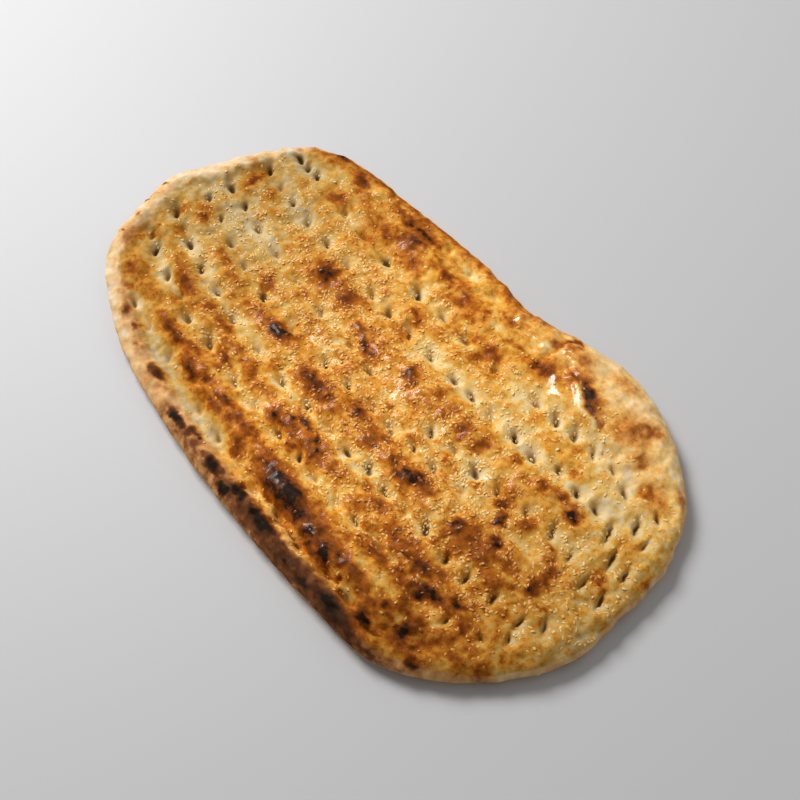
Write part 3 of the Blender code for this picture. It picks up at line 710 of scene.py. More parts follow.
def groove_relief(x, y):
    """The same for the grooves of the thick end, each with a slope on one side and a raised lip past it."""
    x, y = pushed("grooves", x, y)
    sink, flanks, slots = np.zeros_like(x), np.zeros_like(x), np.zeros_like(x)
    for centre_x, centre_y, half_length, half_width, turn, share in END_GROOVES:
        from_x, from_y = x - centre_x * MM, y - centre_y * MM
        half_length, half_width, turn = half_length * MM, half_width * MM, math.radians(turn)
        along, across = turned(from_x, from_y, turn)
        groove = np.hypot(along / half_length, across / half_width)
        lip = LIP_HEIGHT * bell(along / half_length) * bell((across - LIP_PLACE) / LIP_WIDTH)
        along, across = turned(from_x - FLANK_SHIFT, from_y, turn)
        flank = np.hypot(along / (half_length * FLANK_LENGTH), across / (half_width * FLANK_WIDTH))
        depth = GROOVE_DEPTH * mound(groove, SLOT_STEEPNESS) + FLANK_DEPTH * mound(flank, DIMPLE_STEEPNESS)
        sink = np.maximum(sink, share * depth) - share * lip
        share = min(1.0, share)
        flanks = np.maximum(flanks, share * mound(flank, DIMPLE_SHADE_STEEPNESS))
        slots = np.maximum(slots, GROOVE_DARK * share * mound(groove, SLOT_SHADE_STEEPNESS))
    return sink, flanks, slots


def row_grooves(x, y):
    """The shallow valley that joins the pits of a row, from 0 to 1."""
    valley = np.zeros_like(x)
    for name, (heights, positions) in PIT_ROWS.items():
        across = (y - row_curve(heights)(x)) / ROW_GROOVE_WIDTH
        low, high = positions[0] * MM, positions[-1] * MM
        ends = smooth_step(low - ROW_GROOVE_FADE, low, x) * smooth_step(high + ROW_GROOVE_FADE, high, x)
        valley = np.maximum(valley, FADED_PIT_ROWS.get(name, 1.0) * bell(across) * ends)
    return valley


def puff_relief(x, y, puffs):
    rise = np.zeros_like(x)
    for centre_x, centre_y, half_length, half_width, height in puffs:
        along = (x - centre_x * MM) / (half_length * MM)
        across = (y - centre_y * MM) / (half_width * MM)
        rise = rise + height * MM * mound(np.hypot(along, across), PUFF_STEEPNESS)
    return rise


def run_relief(x, y, runs):
    """How deep, or how high, the runs of points with their depth and width reach at each place."""
    relief = np.zeros_like(x)
    for points, depth, width in runs:
        for start, end in zip(points, points[1:]):
            start, end = Vector(start) * MM, Vector(end) * MM
            run = end - start
            share = ((x - start.x) * run.x + (y - start.y) * run.y) / run.length_squared
            share = np.clip(share, 0, 1)
            distance = np.hypot(x - start.x - share * run.x, y - start.y - share * run.y)
            relief = np.maximum(relief, depth * MM * bell(distance / (width * MM)))
    return relief


def along_run(x, y, points, width):
    """How near each point is to one run of points, from 0 to 1."""
    return run_relief(x, y, ((points, 1.0, width),)) / MM


def wave_relief(x, y):
    """Slow, uneven swelling of the dough, with smaller ripples on it, the same as the solid's."""
    rise = np.empty_like(x)
    for index, (point_x, point_y) in enumerate(zip(x.flat, y.flat)):
        wave = noise.noise(Vector((point_x / WAVE_SIZE, point_y / WAVE_SIZE, WAVE_SLICE)))
        ripple = noise.noise(Vector((point_x / RIPPLE_SIZE, point_y / RIPPLE_SIZE, RIPPLE_SLICE)))
        rise.flat[index] = WAVE_HEIGHT * wave + RIPPLE_HEIGHT * ripple
    return rise


def quarter_round(share):
    left = 1 - np.clip(share, 0, 1)
    return np.sqrt(1 - left * left)


# ---------------------------------------------------------------- the two sheets of the crust

class Crust:
    """Everything that is known of the crust at its points: their place, and how each was baked."""

    def __init__(self, sheet, low, high):
        self.lay_out(sheet, high - low)
        self.x = np.interp(self.x, (self.x.min(), self.x.max()), (low.x, high.x))
        self.y = np.interp(self.y, (self.y.min(), self.y.max()), (low.y, high.y))
        self.ceiling = high.z
        self.shape()
        self.z = np.clip(self.z, low.z, high.z)
        self.bake()

    def lay_out(self, sheet, size):
        """Takes a flat square sheet to the loaf's outline, with its points crowded towards the rim."""
        flat = np.empty(len(sheet.vertices) * 3)
        sheet.vertices.foreach_get("co", flat)
        flat = flat.reshape(-1, 3)
        across_x = flat[:, 0] * np.sqrt(1 - flat[:, 1] ** 2 / 2)
        across_y = flat[:, 1] * np.sqrt(1 - flat[:, 0] ** 2 / 2)
        angle = np.arctan2(across_y, across_x)
        ring = np.clip(np.hypot(across_x, across_y), 0, 1)
        bend = RIM_CROWDING * math.pi / 2
        ring = np.sin(ring * bend) / math.sin(bend)

        outline = Outline(size.x, size.y)
        edge_x, edge_y = outline.point(angle)
        wander = clouds("edge", edge_x, edge_y) / np.hypot(edge_x, edge_y)
        grow = 1 + wander * ring**EDGE_WANDER_FADE
        self.x, self.y = edge_x * ring * grow, edge_y * ring * grow
        self.inset = (1 - ring) * outline.reach(angle)

    # How floury and matt the dough is, which also darkens its colour, partly as painted shade
    def dullness_and_shade(self):
        return np.clip(sum(ovals(self.x, self.y, DULL_AND_SHADED_PATCHES, "dull_and_shade")), 0, 1)


class TopCrust(Crust):
    """The upper sheet, with everything that the photo shows."""

    def shape(self):
        x, y = self.x, self.y
        self.sides = side_weights(x, y)
        self.torn = pushed("tear", x, y)
        self.spot = strongest(*self.torn, BAKED_SPOTS, "baked", SPOT_SPREAD)
        self.glazed = strongest(x, y, GLAZED_PATCHES, "glazed")
        self.bulges, self.lumps = clouds("bulges", x, y), clouds("lumps", x, y)
        height = self.dough_height() + self.skin_relief()

        rim = EDGE_HEIGHT + EDGE_BAND / 2
        wall = clouds("wall", x, y) * bell(self.inset / WALL_BAND) * (self.inset > 0)
        roll = TOP_ROLL + END_ROLL * stretch("wide_roll", x) * smooth_step(*END_ROLL_Y, y)
        self.z = rim + (height - rim) * quarter_round(self.inset / roll) + wall
        limit = self.ceiling - HEADROOM
        over = np.maximum(self.z - limit, 0)
        self.z = np.minimum(self.z, limit) + HEADROOM * (1 - np.exp(-over / HEADROOM))

    def dough_height(self):
        """The height of the loaf with its rim, puffs and pits, before the rim is rolled down."""
        x, y = self.x, self.y
        self.wave = wave_relief(x, y)
        self.valley = row_grooves(x, y)
        pits, dimples, slots = pit_relief(x, y)
        grooves, flanks, dark = groove_relief(x, y)
        self.dimples = np.maximum(dimples, FLANK_SHADE * flanks)
        # How darkly the slots and the grooves are painted, a painted shade in them
        self.slot_painted_shade = np.maximum(slots, dark)
        height = np.interp(x / MM, HEIGHT_STATIONS, HEIGHTS) * MM + self.wave
        height = height + rim_relief(self.sides, self.inset) + puff_relief(x, y, PUFFS)
        return height - ROW_GROOVE * self.valley - pits - grooves

    def skin_relief(self):
        """Creases, folds, small puffs, lumps and wrinkles, and the spots that baking lifted."""
        x, y = self.x, self.y
        self.crease = run_relief(*self.torn, CREASES)
        lumps = BULGE_HEIGHT * self.bulges + LUMP_HEIGHT * self.lumps + clouds("wrinkles", x, y)
        lumps = lumps * (1 - DIMPLE_SMOOTHING * self.dimples) * (1 - GLAZE_SMOOTHING * self.glazed)
        lifted = SPOT_LIFT * smooth_step(*LIFTED_SPOTS, self.spot)
        folds = run_relief(x, y, RIDGES) - self.crease
        lost_crest = RIGHT_CREST_LOSS * self.sides["right"] * crest_band(self.inset)
        return lumps + lifted + folds + puff_relief(x, y, SKIN_PUFFS) - lost_crest

    def bake(self):
        # The seam is painted paler, partly as painted light on its lit slope
        self.seam = along_run(*self.torn, PALE_SEAM[:SEAM_PALE_POINTS], SEAM_WIDTH)
        # The fold is kept pale, partly a painted highlight
        self.fold_and_highlight = along_run(self.x, self.y, PALE_FOLD, FOLD_WIDTH)
        # Pale spots and the seam: partly crust that stayed pale, partly painted light
        unbaked_and_lit = strongest(*self.torn, PALE_SPOTS, "pale", PALE_SPREAD)
        self.unbaked_and_lit = np.maximum(unbaked_and_lit, SEAM_PALENESS_AND_LIGHT * self.seam)
        self.brown()
        self.flour_rim()
        self.tan_rim()
        self.polish()

    def base_browning(self):
        """The colour between the spots: broad warmth, mottled, and paler where the crust lies low."""
        x, y = self.x, self.y
        warmth = sum(ovals(x, y, WARM_PATCHES, "warm"))
        mottle = clouds("streaks", STREAK_SQUEEZE * x, y) + clouds("blotches", x, y)
        mottle = mottle + BULGE_MOTTLE * self.bulges + LUMP_MOTTLE * self.lumps
        mottle = mottle * np.maximum(COLD_MOTTLING + WARM_MOTTLING * warmth, LEAST_MOTTLING)
        mottle = mottle * (1 - GLAZE_EVENING * self.glazed) * (1 - END_EVENING * stretch("even_end", x))
        raised = WAVE_BROWNING * self.wave - VALLEY_PALENESS * self.valley
        raised = raised - RIM_VALLEY_PALENESS * self.sides["near"] * groove_band(self.inset)
        base = np.clip(BASE_BROWNING + warmth + mottle + raised, 0, BASE_BROWNING_LIMIT)
        return base * (1 - DIMPLE_PALENESS * self.dimples)

    def brown(self):
        """Lays the baked spots and their soft halos over the colour between them."""
        halo = HALO_SHARE * strongest(*self.torn, BAKED_SPOTS, "halo", HALO_SPREAD)
        char = strongest(*self.torn, RIM_CHAR, "rim_char", CHAR_SPREAD)
        spot = np.minimum(SPOT_GAIN * self.spot, 1) * (1 - WEAK_SPOT_LOSS * stretch("weak_spots", self.x))
        # Creases darken with their depth, partly a painted shade in them
        spot = np.maximum(spot, CREASE_BROWNING_AND_SHADE * np.clip(self.crease / CREASE_DARK, 0, 1))
        spot, char = np.maximum(spot, SHARED_CHAR * char), np.maximum(char, SHARED_CHAR * spot)
        self.char = char * (1 - SEAM_CHAR_LOSS * self.seam)

        layers = {"base": self.base_browning(), "spot": spot, "halo": halo}
        # Each layer is paler where the crust is pale and on the fold, in part painted light on lit flanks,
        # the seam and the fold's glint
        for name in layers:
            kept = (1 - PALE_LOSSES[name] * self.unbaked_and_lit) * (1 - FOLD_AND_HIGHLIGHT_LOSSES[name] * self.fold_and_highlight)
            layers[name] = layers[name] * kept
        far_edge = self.sides["far"] * stretch("baked_far_edge", self.x) * bell(self.inset / FAR_EDGE_WIDTH)
        far_edge = far_edge * (FAR_EDGE_LEAST + clouds("far_edge", self.x, self.y))
        layers["base"] = layers["base"] + FAR_EDGE_BROWNING * far_edge
        self.spot = layers["spot"]
        self.browning = np.clip(blend(*layers.values()) - FINAL_DIMPLE_PALENESS * self.dimples, 0, 1)

    def flour_rim(self):
        """The matt skin round the rim, widest where the dough was rolled over."""
        x, y, sides = self.x, self.y, self.sides
        rolled = np.maximum(sides["near"] * stretch("rolled_near_rim", x), LEFT_ROLL * sides["left"])
        parts = {"rolled": rolled, "right": sides["right"], "far": sides["far"]}
        reach = MATT_REACH + sum(gain * parts[name] for name, gain in MATT_REACH_GAIN.items())
        matt = smooth_step(*MATT_FADE, self.inset / (reach * MM) + clouds("matt_edge", x, y))
        matt = matt * (1 - SEAM_MATT_LOSS * self.seam)
        self.flour = np.maximum(matt, strongest(x, y, MATT_PATCHES, "matt"))

    def tan_rim(self):
        """The rim's own tan, under its char."""
        x, sides = self.x, self.sides
        near = sides["near"] * stretch("tanned_near_rim", x)
        near = near * (1 - PALER_NEAR_RIM_LOSS * stretch("paler_near_rim", x))
        lower_end = sides["near"] * stretch("lower_end", x)
        parts = {"near": near, "lower_end": lower_end, "right": sides["right"]}
        tan = RIM_TAN + sum(gain * parts[name] for name, gain in RIM_TAN_GAIN.items())
        tan = np.maximum(tan + clouds("rim_tan", x, self.y), 0)
        self.char = np.clip(blend(self.char, tan), 0, 1)

    def polish(self):
        # The matt darkening is partly painted shade; it is less on pale spots and on the floury rim
        dull_and_shade = self.dullness_and_shade() * (1 - PALE_DULL_AND_SHADE_LOSS * self.unbaked_and_lit)
        shine = SHINE + GLAZE_SHINE * self.glazed + FOLD_SHINE * self.fold_and_highlight
        shine = shine - BURNT_SHINE_LOSS * smooth_step(*BURNT_SPOTS, self.spot)
        shine = shine + clouds("shine", self.x, self.y)
        self.gloss = np.clip(shine * (1 - DULL_SHINE_LOSS * dull_and_shade), 0, 1)
        self.dull_and_shade = dull_and_shade * (1 - FLOUR_DULL_AND_SHADE_LOSS * self.flour)


class Underside(Crust):
    """The lower sheet, floury and a little dented, which the photo doesn't show."""

    def shape(self):
        rim = EDGE_HEIGHT - EDGE_BAND / 2
        rise = (rim - BASE_CLEARANCE) * (1 - quarter_round(self.inset / BASE_ROLL))
        dents = UNDERSIDE_DENT * (1 + clouds("dents", self.x, self.y)) / 2
        self.z = rise + dents * smooth_step(0, UNDERSIDE_DENT_FADE, self.inset)

    def bake(self):
        x, y = self.x, self.y
        self.browning = np.clip(UNDER_BROWNING + clouds("under_browning", x, y), 0, 1)
        self.char = np.clip(UNDER_CHAR + clouds("under_char", x, y), UNDER_CHAR_LEAST, 1)
        self.flour = np.ones_like(x)
        self.slot_painted_shade = np.zeros_like(x)
        self.gloss = np.zeros_like(x)
        # The same matt darkening, partly painted shade
        self.dull_and_shade = UNDER_DULL_AND_SHADE * self.dullness_and_shade()


def select_only(*pieces):
    """Selects these objects alone, and makes the first of them active."""
    bpy.ops.object.select_all(action="DESELECT")
    for piece in pieces:
        piece.select_set(True)
    bpy.context.view_layer.objects.active = pieces[0]


def add_attribute(mesh, name, values):
    mesh.attributes.new(name, "FLOAT", "POINT").data.foreach_set("value", values)


def add_sheet(name, cells, kind):
    """A grid of this many cells, moved to one face of the loaf, with its baking as attributes."""
    bpy.ops.mesh.primitive_grid_add(x_subdivisions=cells[0], y_subdivisions=cells[1], size=2)
    sheet = bpy.context.active_object
    sheet.name = sheet.data.name = name
    crust = kind(sheet.data, *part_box("naan"))
    sheet.data.vertices.foreach_set("co", np.stack((crust.x, crust.y, crust.z), axis=1).ravel())
    for baking in BAKING_KINDS:
        add_attribute(sheet.data, baking, getattr(crust, baking))
    return sheet


def face_down(sheet):
    bpy.ops.object.mode_set(mode="EDIT")
    bpy.ops.mesh.select_all(action="SELECT")
    bpy.ops.mesh.flip_normals()
    bpy.ops.object.mode_set(mode="OBJECT")


def make_crust():
    """The loaf as one closed skin: a fine upper sheet and a coarser underside, bridged round the edge."""
    upper = add_sheet("crust", TOP_CELLS, TopCrust)
    lower = add_sheet("underside", BASE_CELLS, Underside)
    face_down(lower)
    select_only(upper, lower)
    bpy.ops.object.join()
    bpy.ops.object.mode_set(mode="EDIT")
    bpy.ops.mesh.select_mode(type="EDGE")
    bpy.ops.mesh.select_all(action="DESELECT")
    bpy.ops.mesh.select_non_manifold()
    bpy.ops.mesh.bridge_edge_loops()
    bpy.ops.object.mode_set(mode="OBJECT")
    bpy.ops.object.shade_smooth()
    return upper


# ---------------------------------------------------------------- sesame

SEED_LENGTH = 4.0 * MM
SEED_BREADTH = 2.75 * MM
SEED_THICKNESS = 0.95 * MM
SEED_TAPER = 0.42
SEED_TAPER_FROM = -0.3
SEED_COUNT = 4600
SEED_DRAW = 5
SEED_TRIES = 4000
SEED_CELL = 2.4 * MM
SEED_DROP_HEIGHT = 100 * MM
SEED_CLUSTER_BASE = 0.5
SEED_CLUSTER_LIMITS = (0.04, 1.5)
# What makes a seed stay or go: the slots catch more, and char and flour hold fewer
SLOT_CATCH = 0.6
BURNT_CRUST = (0.55, 0.8)
BURNT_SEED_LOSS = 0.85
FLOUR_SEED_LOSS = 0.8
SEED_TILT = 0.22
SEED_SIZES = (0.85, 1.2)
# How far a seed's middle lies off the crust, in millimetres, and how much deeper where the dough is matt and
# darkened as painted shade
SEED_LIFT = (-0.24, 0.0)
DULL_AND_SHADED_SEED_SINK = 0.1
SEED_TOAST = 0.08
SEED_TOAST_GAIN = 1.3
SEED_TOAST_FROM = 0.10
SEED_TOAST_SPREAD = 0.08
TOASTED_FROM = 0.38
# Where the sesame fell: X, Y, half length, half width in millimetres, turn, share of the full density
SESAME_PATCHES = (
    (20, -8, 190, 52, 0, 1.0), (-110, 35, 75, 40, 0, 0.9), (110, -62, 85, 34, 0, 0.9),
    (60, 55, 90, 30, 0, 0.5), (-60, -80, 70, 22, 0, 0.45), (-200, 10, 60, 60, 0, 0.16),
    (110, 74, 100, 26, 0, 0.35), (-120, 90, 60, 24, 0, 0.25), (60, -128, 70, 12, 0, 0.2),
    (205, 10, 50, 60, 0, 0.17), (205, -80, 40, 30, 0, 0.07), (0, 0, 240, 108, 0, 0.03),
)


def seed_form():
    """One sesame seed, a flattened drop, as vertices about its middle and faces."""
    bpy.ops.mesh.primitive_uv_sphere_add(segments=6, ring_count=5, radius=1)
    seed = bpy.context.active_object
    vertices = np.array([vertex.co for vertex in seed.data.vertices])
    vertices = vertices[:, (2, 1, 0)] * (1, 1, -1)
    faces = [tuple(face.vertices) for face in seed.data.polygons]
    bpy.data.meshes.remove(seed.data)
    narrow = 1 - SEED_TAPER * np.clip(vertices[:, 0] - SEED_TAPER_FROM, 0, 2)
    vertices[:, 1] *= narrow
    vertices[:, 2] *= (1 + narrow) / 2
    return vertices * (SEED_LENGTH / 2, SEED_BREADTH / 2, SEED_THICKNESS / 2), faces


def seed_chances(x, y):
    """How likely a seed is to fall at each place, in clusters."""
    clusters = np.clip(SEED_CLUSTER_BASE + clouds("seeds", x, y), *SEED_CLUSTER_LIMITS)
    return strongest(x, y, SESAME_PATCHES, "sesame") * clusters


def seed_places(crust):
    """Points on the crust with its normal, browning, and matt darkening there (partly painted shade), drawn
    with at most one in a cell.
    """
    draw = np.random.default_rng(SEED_DRAW)
    tree = BVHTree.FromObject(crust, bpy.context.evaluated_depsgraph_get())
    baking = [crust.data.attributes[kind].data for kind in ("browning", "slot_painted_shade", "dull_and_shade", "flour")]
    low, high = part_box("naan")
    taken, places = set(), []
    while len(places) < SEED_COUNT:
        x, y = draw.uniform(low.x, high.x, SEED_TRIES), draw.uniform(low.y, high.y, SEED_TRIES)
        fates = draw.uniform(0, 1, SEED_TRIES)
        for point_x, point_y, chance, fate in zip(x, y, seed_chances(x, y), fates):
            if fate > (1 + SLOT_CATCH) * chance or len(places) == SEED_COUNT:
                continue
            start = Vector((point_x, point_y, SEED_DROP_HEIGHT))
            place, normal, index, _ = tree.ray_cast(start, Vector((0, 0, -1)))
            if place is None:
                continue
            corner = crust.data.polygons[index].vertices[0]
            browning, slot_painted_shade, dull_and_shade, flour = (values[corner].value for values in baking)
            burnt = smooth_step(*BURNT_CRUST, browning)
            held = (1 + SLOT_CATCH * slot_painted_shade) * (1 - BURNT_SEED_LOSS * burnt) * (1 - FLOUR_SEED_LOSS * flour)
            cell = (int(point_x / SEED_CELL), int(point_y / SEED_CELL))
            if fate > chance * held or cell in taken:
                continue
            taken.add(cell)
            places.append((place, normal, browning, dull_and_shade))
    return places


def lay_seeds(crust):
    """Each seed's vertices, sunk a little and turned its own way, how toasted it is, and how much it is
    darkened with the matt dough, partly as painted shade.
    """
    draw = random.Random(SEED_DRAW)
    form, faces = seed_form()
    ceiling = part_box("naan")[1].z
    laid = []
    for place, normal, browning, dull_and_shade in seed_places(crust):
        tilt = Vector((draw.gauss(0, SEED_TILT), draw.gauss(0, SEED_TILT), 0))
        lean = (normal + tilt).normalized().to_track_quat("Z", "Y").to_matrix().to_4x4()
        spin = Matrix.Rotation(draw.uniform(0, math.tau), 4, "Z")
        size = draw.uniform(*SEED_SIZES)
        lift = (draw.uniform(*SEED_LIFT) - DULL_AND_SHADED_SEED_SINK * dull_and_shade) * MM
        attitude = np.array((lean @ spin).to_3x3())
        seed = form * size @ attitude.T + np.array(place + normal * lift)
        seed[:, 2] -= max(0.0, seed[:, 2].max() - ceiling)
        toast = SEED_TOAST + SEED_TOAST_GAIN * max(0.0, browning - SEED_TOAST_FROM)
        toast = toast + draw.gauss(0, SEED_TOAST_SPREAD)
        laid.append((seed, min(1.0, max(0.0, toast)), dull_and_shade))
    return laid, faces


def make_sesame(name, laid, form_faces):
    """One kind of sesame as one piece."""
    forms, toasts, dulls_and_shades = zip(*laid)
    corners = len(forms[0])
    starts = range(0, len(laid) * corners, corners)
    faces = [tuple(start + corner for corner in face) for start in starts for face in form_faces]
    mesh = bpy.data.meshes.new(name)
    mesh.from_pydata(np.concatenate(forms).tolist(), [], faces)
    add_attribute(mesh, "toasting", np.repeat(toasts, corners))
    add_attribute(mesh, "dull_and_shade", np.repeat(dulls_and_shades, corners))
    seeds = bpy.data.objects.new(name, mesh)
    bpy.context.scene.collection.objects.link(seeds)
    select_only(seeds)
    bpy.ops.object.shade_smooth()
    return seeds


# ---------------------------------------------------------------- finishes

# Browning stops: position, then colour (linear)
CRUST_COLOURS = (
    (0.00, (0.885, 0.705, 0.400)),
    (0.13, (0.880, 0.585, 0.185)),
    (0.28, (0.850, 0.430, 0.068)),
    (0.42, (0.740, 0.292, 0.029)),
    (0.58, (0.520, 0.145, 0.010)),
    (0.75, (0.295, 0.073, 0.005)),
    (0.90, (0.148, 0.036, 0.004)),
    (1.00, (0.022, 0.009, 0.004)),
)
# The same for the matt rim by its char, and for the seeds by their toasting
RIM_COLOURS = (
    (0.00, (0.930, 0.740, 0.500)),
    (0.14, (0.880, 0.580, 0.270)),
    (0.34, (0.700, 0.335, 0.115)),
    (0.54, (0.245, 0.081, 0.025)),
    (0.70, (0.100, 0.034, 0.012)),
    (0.90, (0.030, 0.014, 0.007)),
    (1.00, (0.013, 0.008, 0.005)),
)
SEED_COLOURS = (
    (0.00, (0.950, 0.715, 0.345)),
    (0.25, (0.935, 0.590, 0.180)),
    (0.50, (0.870, 0.405, 0.062)),
    (0.75, (0.600, 0.215, 0.024)),
    (1.00, (0.280, 0.080, 0.012)),
)
# The darkening of floury, matt dough, partly painted shade, for the crust and for the seeds
DULLING_AND_SHADE = (0.54, 0.515, 0.50, 1.0)
SEED_DULLING_AND_SHADE = (0.72, 0.65, 0.54, 1.0)
# The slots' brown, mostly painted shade, and the painted shade of their deepest part
SLOT_BROWN_AND_SHADE = (0.330, 0.155, 0.026, 1.0)
SLOT_PAINTED_SHADE = (0.092, 0.045, 0.011, 1.0)

# Ranges: a value from the first number to the second becomes one from the third to the fourth
# The spans over which the slots' brown and their painted shade come in
SLOT_BROWN_AND_SHADE_SPAN = (0.10, 0.65, 0.0, 0.72)
SLOT_SHADE = (0.34, 0.80, 0.0, 0.94)
OIL_PATCHES = (0.35, 0.65, 0.5, 1.3)
OIL_ROUGHNESS = (0.0, 1.0, 0.78, 0.26)
FLECKED = (0.51, 0.64, 0.0, 1.0)


class Graph:
    """A node tree in hand: adds nodes with their inputs set or linked by name."""

    def __init__(self, tree):
        self.tree = tree

    def fill(self, node, inputs):
        for key, value in inputs.items():
            socket = node.inputs[key]
            if isinstance(value, bpy.types.NodeSocket):
                self.tree.links.new(value, socket)
            else:
                socket.default_value = value

    def add(self, kind, inputs=None, **settings):
        node = self.tree.nodes.new(kind)
        for key, value in settings.items():
            setattr(node, key, value)
        self.fill(node, inputs or {})
        return node

    def attribute(self, name):
        return self.add("ShaderNodeAttribute", attribute_name=name).outputs["Fac"]

    def math(self, operation, first, second=0.5, third=0.5, clamp=False):
        inputs = {0: first, 1: second, 2: third}
        return self.add("ShaderNodeMath", inputs, operation=operation, use_clamp=clamp).outputs[0]

    def noise(self, place, scale, detail=2.0, roughness=0.5):
        inputs = {"Vector": place, "Scale": scale, "Detail": detail, "Roughness": roughness}
        return self.add("ShaderNodeTexNoise", inputs).outputs["Fac"]

    def cells(self, place, scale):
        """The distance from the middles of random cells."""
        inputs = {"Vector": place, "Scale": scale}
        return self.add("ShaderNodeTexVoronoi", inputs, feature="SMOOTH_F1").outputs["Distance"]

    def spread(self, value, *limits):
        """Takes the range of the first two limits smoothly to the range of the last two."""
        inputs = dict(zip(("Value", "From Min", "From Max", "To Min", "To Max"), (value, *limits)))
        return self.add("ShaderNodeMapRange", inputs, interpolation_type="SMOOTHSTEP").outputs["Result"]

    def ramp(self, value, stops):
        node = self.add("ShaderNodeValToRGB", {"Fac": value})
        elements = node.color_ramp.elements
        while len(elements) < len(stops):
            elements.new(0.5)
        for element, (position, colour) in zip(elements, stops):
            element.position = position
            element.color = (*colour, 1.0)
        return node.outputs["Color"]

    def mix(self, share, first, second, blend_type="MIX"):
        inputs = {0: share, 6: first, 7: second}
        return self.add("ShaderNodeMix", inputs, data_type="RGBA", blend_type=blend_type).outputs[2]


def new_material(name):
    material = bpy.data.materials.new(name)
    material.use_nodes = True
    return material, Graph(material.node_tree), material.node_tree.nodes["Principled BSDF"]


def mottled_group():
    """Breaks up a smooth value with patches and specks, for crust and seeds alike."""
    group = bpy.data.node_groups.new("mottled", "ShaderNodeTree")
    for name in ("Value", "Patches", "Specks", "Flecks"):
        group.interface.new_socket(name, in_out="INPUT", socket_type="NodeSocketFloat")
    group.interface.new_socket("Value", in_out="OUTPUT", socket_type="NodeSocketFloat")
    graph = Graph(group)
    entry = graph.add("NodeGroupInput").outputs
    place = graph.add("ShaderNodeTexCoord").outputs["Object"]
    patches = graph.math("SUBTRACT", graph.noise(place, scale=170.0, roughness=0.55), 0.5)
    specks = graph.math("SUBTRACT", graph.noise(place, scale=700.0, roughness=0.6), 0.5)
    toasted = graph.spread(graph.noise(place, scale=300.0, detail=3.0, roughness=0.65), *FLECKED)
    toasted = graph.math("MULTIPLY", toasted, entry["Flecks"])
    unbrowned = graph.math("POWER", graph.math("SUBTRACT", 1.0, entry["Value"], clamp=True), 2.0)
    room = graph.math("MULTIPLY", entry["Value"], unbrowned)
    value = graph.math("MULTIPLY_ADD", toasted, room, entry["Value"])
    value = graph.math("MULTIPLY_ADD", patches, entry["Patches"], value)
    value = graph.math("MULTIPLY_ADD", specks, entry["Specks"], value, clamp=True)
    graph.add("NodeGroupOutput", {"Value": value})
    return group


def mottled(graph, group, value, patches, specks, flecks=0.0):
    inputs = {"Value": value, "Patches": patches, "Specks": specks, "Flecks": flecks}
    return graph.add("ShaderNodeGroup", inputs, node_tree=group).outputs["Value"]


def crust_colour(graph, group, flour):
    """Browning between the slots; the slots' brown and their painted shade; the matt rim over both; and over
    all the darkening of floury, matt dough, which is partly painted shade.
    """
    slot_painted_shade = graph.attribute("slot_painted_shade")
    browning = mottled(graph, group, graph.attribute("browning"), patches=0.64, specks=0.18, flecks=1.0)
    char = mottled(graph, group, graph.attribute("char"), patches=0.42, specks=0.12)
    colour = graph.ramp(browning, CRUST_COLOURS)
    # The slots are painted dark as shade
    colour = graph.mix(graph.spread(slot_painted_shade, *SLOT_BROWN_AND_SHADE_SPAN), colour, SLOT_BROWN_AND_SHADE)
    colour = graph.mix(graph.spread(slot_painted_shade, *SLOT_SHADE), colour, SLOT_PAINTED_SHADE)
    colour = graph.mix(flour, colour, graph.ramp(char, RIM_COLOURS))
    # Floury, matt dough darkens the colour, partly as painted shade
    return graph.mix(graph.attribute("dull_and_shade"), colour, DULLING_AND_SHADE, "MULTIPLY")


def crust_oil(graph, place, flour):
    """How oily the crust is, in patches, and nowhere on the matt rim."""
    oily = graph.math("MULTIPLY", graph.attribute("gloss"), graph.math("SUBTRACT", 1.0, flour))
    patchy = graph.noise(place, scale=140.0, detail=3.0, roughness=0.6)
    return graph.math("MULTIPLY", oily, graph.spread(patchy, *OIL_PATCHES), clamp=True)


def crust_grain(graph, place):
    leather = graph.noise(place, scale=420.0, detail=4.0, roughness=0.6)
    height = graph.math("MULTIPLY_ADD", graph.cells(place, scale=520.0), 0.35, leather)
    inputs = {"Strength": 0.34, "Distance": 0.7 * MM, "Height": height}
    return graph.add("ShaderNodeBump", inputs).outputs["Normal"]


def crust_material(group):
    material, graph, shader = new_material("baked_crust")
    place = graph.add("ShaderNodeTexCoord").outputs["Object"]
    flour = graph.attribute("flour")
    oily = crust_oil(graph, place, flour)
    graph.fill(shader, {
        "Base Color": crust_colour(graph, group, flour),
        "Roughness": graph.spread(oily, *OIL_ROUGHNESS),
        "Coat Weight": graph.math("MULTIPLY", oily, oily),
        "Coat Roughness": 0.15,
        "Specular IOR Level": 0.08,
        "Normal": crust_grain(graph, place),
    })
    return material


def sesame_material(group):
    material, graph, shader = new_material("toasted_sesame")
    toasting = mottled(graph, group, graph.attribute("toasting"), patches=0.15, specks=0.25)
    colour = graph.ramp(toasting, SEED_COLOURS)
    graph.fill(shader, {
        # Seeds darken with the matt dough under them, partly as painted shade
        "Base Color": graph.mix(graph.attribute("dull_and_shade"), colour, SEED_DULLING_AND_SHADE, "MULTIPLY"),
        "Roughness": 0.45,
        "Coat Weight": 0.15,
        "Coat Roughness": 0.2,
    })
    return material


def floor_material():
    material, graph, shader = new_material("pale_floor")
    graph.fill(shader, {"Base Color": (0.58, 0.58, 0.59, 1.0), "Roughness": 0.6})
    return material


# ---------------------------------------------------------------- scene

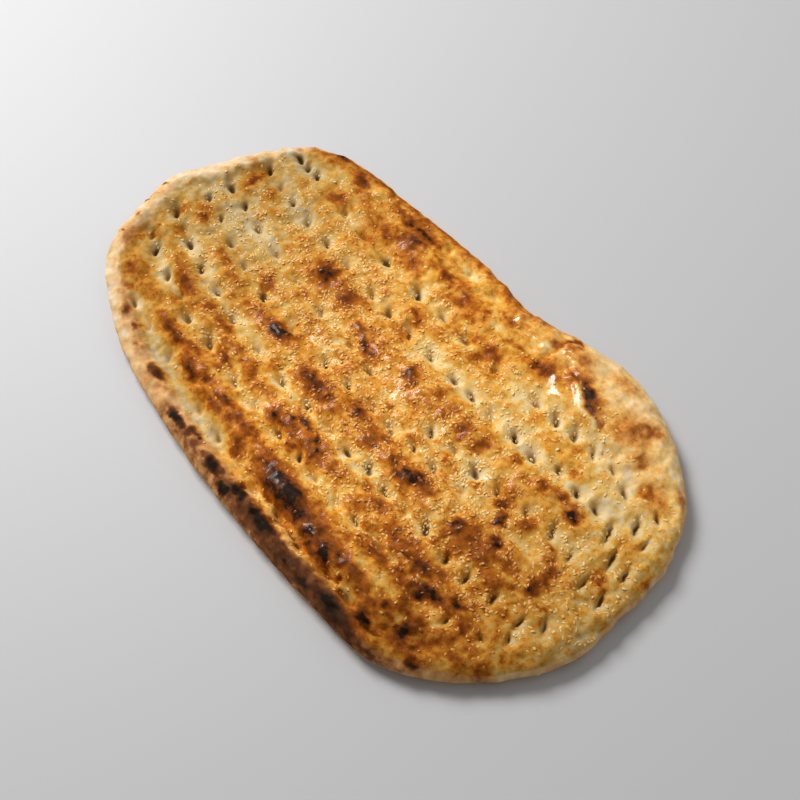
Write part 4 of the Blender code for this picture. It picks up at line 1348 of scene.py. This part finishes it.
CAMERA_PLACE = Vector((0.3721, -0.2776, 0.7698))
CAMERA_AIM = Vector((0.0292, 0.0051, 0.0))
CAMERA_LENS = 50
CAMERA_SENSOR = 36
KEY_PLACE = (-1.55, -0.03, 1.59)
KEY_SIZE = (1.0, 0.85)
KEY_POWER = 50.5
FILL_PLACE = (0.5, 1.2, 1.3)
FILL_SIZE = (1.6, 1.2)
FILL_POWER = 3.0
SKY_COLOUR = (1.0, 0.975, 0.94, 1.0)
SKY_STRENGTH = 0.25
FLOOR_SIZE = 8
FLOOR_GAP = 0.3 * MM


def add_floor():
    bpy.ops.mesh.primitive_plane_add(size=FLOOR_SIZE, location=(0, 0, -FLOOR_GAP))
    floor = bpy.context.active_object
    floor.name = floor.data.name = "floor"
    floor.data.materials.append(floor_material())


def add_light(name, place, size, power):
    data = bpy.data.lights.new(name, "AREA")
    data.shape = "RECTANGLE"
    data.size, data.size_y = size
    data.energy = power
    light = bpy.data.objects.new(name, data)
    light.location = place
    light.rotation_euler = (-Vector(place)).to_track_quat("-Z", "Y").to_euler()
    light.visible_camera = False
    bpy.context.scene.collection.objects.link(light)


def add_world():
    world = bpy.data.worlds.new("studio")
    world.use_nodes = True
    background = world.node_tree.nodes["Background"]
    background.inputs["Color"].default_value = SKY_COLOUR
    background.inputs["Strength"].default_value = SKY_STRENGTH
    bpy.context.scene.world = world


def add_camera():
    data = bpy.data.cameras.new("camera")
    data.lens = CAMERA_LENS
    data.sensor_width = CAMERA_SENSOR
    camera = bpy.data.objects.new("camera", data)
    camera.location = CAMERA_PLACE
    camera.rotation_euler = (CAMERA_AIM - CAMERA_PLACE).to_track_quat("-Z", "Y").to_euler()
    bpy.context.scene.collection.objects.link(camera)
    bpy.context.scene.camera = camera


bpy.ops.object.select_all(action="DESELECT")
crust = make_crust()
laid_seeds, seed_faces = lay_seeds(crust)
speckle = mottled_group()
crust.data.materials.clear()
crust.data.materials.append(crust_material(speckle))
sesame_finish = sesame_material(speckle)
sesame = (
    make_sesame("sesame_pale", [seed for seed in laid_seeds if seed[1] < TOASTED_FROM], seed_faces),
    make_sesame("sesame_toasted", [seed for seed in laid_seeds if seed[1] >= TOASTED_FROM], seed_faces),
)

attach(crust, "root")
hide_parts("naan")
for seeds in sesame:
    seeds.data.materials.append(sesame_finish)
    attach(seeds, "root")

add_floor()
add_light("key", KEY_PLACE, KEY_SIZE, KEY_POWER)
add_light("fill", FILL_PLACE, FILL_SIZE, FILL_POWER)
add_world()
add_camera()
bpy.context.scene.view_settings.view_transform = "Standard"
